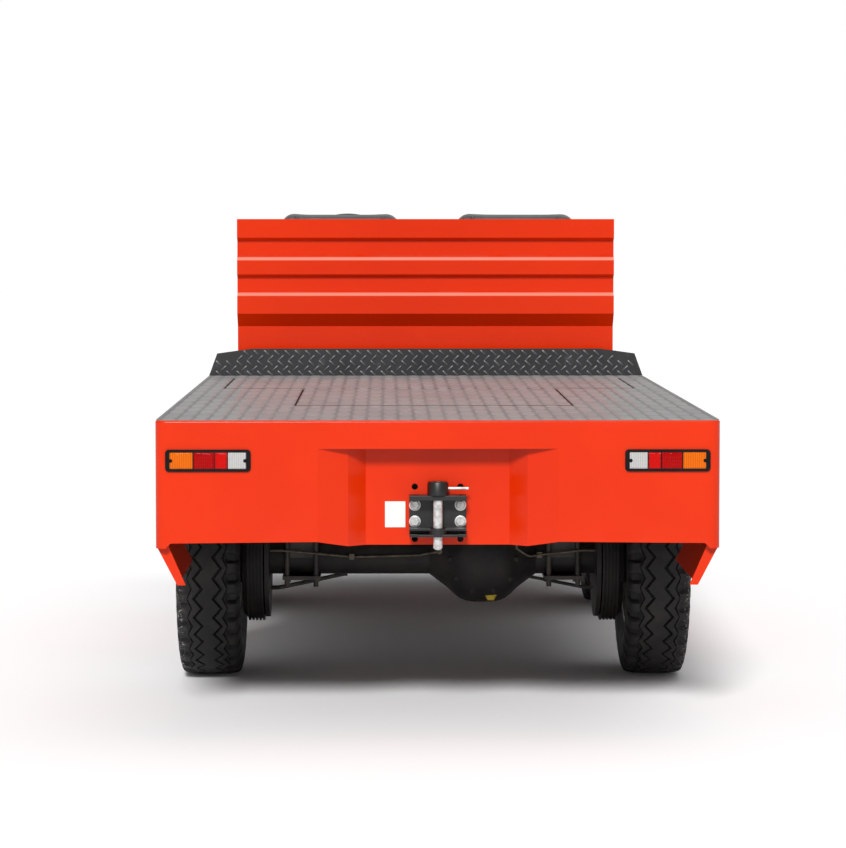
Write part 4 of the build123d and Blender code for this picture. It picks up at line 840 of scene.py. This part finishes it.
def makeSeat(name, kind):
    piece = bpy.data.objects.new("padded_" + name, nodes[name].data.copy())
    scene.collection.objects.link(piece)
    low, high = (np.array(v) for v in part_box(name))
    middle = (low + high) / 2
    shrink = 1 - 2 * seat["cap"] * 0.75 / (high - low)
    points = (readPoints(piece) - middle) * shrink + middle
    piece.data.vertices.foreach_set("co", points.ravel())
    remesh = piece.modifiers.new("cells", "REMESH")
    remesh.mode = "VOXEL"
    remesh.voxel_size = seat["cell"]
    applyModifiers(piece)
    points = np.clip(swell(piece), low, high)
    piece.data.vertices.foreach_set("co", points.ravel())
    piece.data.update()
    finer = piece.modifiers.new("smooth", "SUBSURF")
    finer.levels = 1
    finer.render_levels = 1
    applyModifiers(piece)
    points = readPoints(piece)
    normals = np.empty(len(piece.data.vertices) * 3)
    piece.data.vertices.foreach_get("normal", normals)
    normals = normals.reshape(-1, 3)
    span = (high - low) / 2
    across = 1 if kind == "flat" else 2
    u = (points[:, 0] - middle[0]) / span[0]
    v = (points[:, across] - middle[across]) / span[across]
    face = normals[:, 2] > 0.55 if kind == "flat" else np.abs(normals[:, 1]) > 0.55
    depth = seamDepth(u, v, span[0], span[across])
    points = np.clip(points - normals * (depth * face)[:, None], low, high)
    if kind == "up":
        reach = points[:, 2].max() - low[2]
        points[:, 2] = low[2] + (points[:, 2] - low[2]) * (high[2] - seat["drop"] - low[2]) / reach
    piece.data.vertices.foreach_set("co", points.ravel())
    piece.data.polygons.foreach_set("use_smooth", np.ones(len(piece.data.polygons), dtype=bool))
    piece.data.update()
    piece.data.materials.clear()
    piece.data.materials.append(surfaces["seat_vinyl"].material)
    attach(piece, "chassis")
    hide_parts(name)


for name, kind in seatKinds.items():
    makeSeat(name, kind)
print("seats made")


# Floor, light and camera
def makeStage():
    g = Graph("floor")
    pale, dim = (0.97, 0.97, 0.97, 1.0), (0.94, 0.94, 0.94, 1.0)
    g.feed(g.shader.inputs["Base Color"], g.mix(g.noise(2.0, 2.0) * 0.03, pale, dim))
    g.shader.inputs["Roughness"].default_value = 0.9
    g.shader.inputs["Specular IOR Level"].default_value = 0.0
    g.shader.inputs["Emission Color"].default_value = (1.0, 1.0, 1.0, 1.0)
    g.shader.inputs["Emission Strength"].default_value = 0.008
    mesh = bpy.data.meshes.new("floor")
    reach = 60.0
    corners = [(-reach, -reach, 0), (reach, -reach, 0), (reach, reach, 0), (-reach, reach, 0)]
    mesh.from_pydata(corners, [], [(0, 1, 2, 3)])
    mesh.materials.append(g.material)
    floor = bpy.data.objects.new("floor", mesh)
    scene.collection.objects.link(floor)


def makeWorld(strength):
    world = bpy.data.worlds.new("pale")
    world.use_nodes = True
    tree = world.node_tree
    tree.nodes.clear()
    path = tree.nodes.new("ShaderNodeLightPath")
    seen = tree.nodes.new("ShaderNodeBackground")
    seen.inputs["Color"].default_value = (1.0, 1.0, 1.0, 1.0)
    glow = tree.nodes.new("ShaderNodeBackground")
    glow.inputs["Color"].default_value = (1.0, 1.0, 1.0, 1.0)
    glow.inputs["Strength"].default_value = strength
    mixer = tree.nodes.new("ShaderNodeMixShader")
    out = tree.nodes.new("ShaderNodeOutputWorld")
    tree.links.new(path.outputs["Is Camera Ray"], mixer.inputs[0])
    tree.links.new(glow.outputs[0], mixer.inputs[1])
    tree.links.new(seen.outputs[0], mixer.inputs[2])
    tree.links.new(mixer.outputs[0], out.inputs["Surface"])
    scene.world = world


# A soft distant light that comes from the given direction.
def makeSun(name, source, strength, spread):
    light = bpy.data.lights.new(name, "SUN")
    light.energy = strength
    light.angle = math.radians(spread)
    sun = bpy.data.objects.new(name, light)
    sun.rotation_euler = Vector(source).to_track_quat("Z", "Y").to_euler()
    scene.collection.objects.link(sun)


# The photograph's viewpoint: from behind, with the horizon above the deck
viewpoint = {"lens": 136.9, "place": (-0.145, -11.209, 1.418), "down": 3.46, "turn": -0.646}


def makeCamera():
    data = bpy.data.cameras.new("camera")
    data.lens = viewpoint["lens"]
    data.sensor_width = 36.0
    data.clip_end = 200.0
    camera = bpy.data.objects.new("camera", data)
    camera.location = viewpoint["place"]
    tilt, turn = math.radians(90 - viewpoint["down"]), math.radians(viewpoint["turn"])
    camera.rotation_euler = (tilt, 0.0, turn)
    scene.collection.objects.link(camera)
    scene.camera = camera


makeStage()
makeWorld(0.36)
makeSun("key", (-0.12, -1.0, 0.66), 3.1, 12)
makeSun("fill", (0.3, 0.5, 1.0), 0.6, 50)
makeCamera()
scene.view_settings.view_transform = "Standard"
print("stage made")
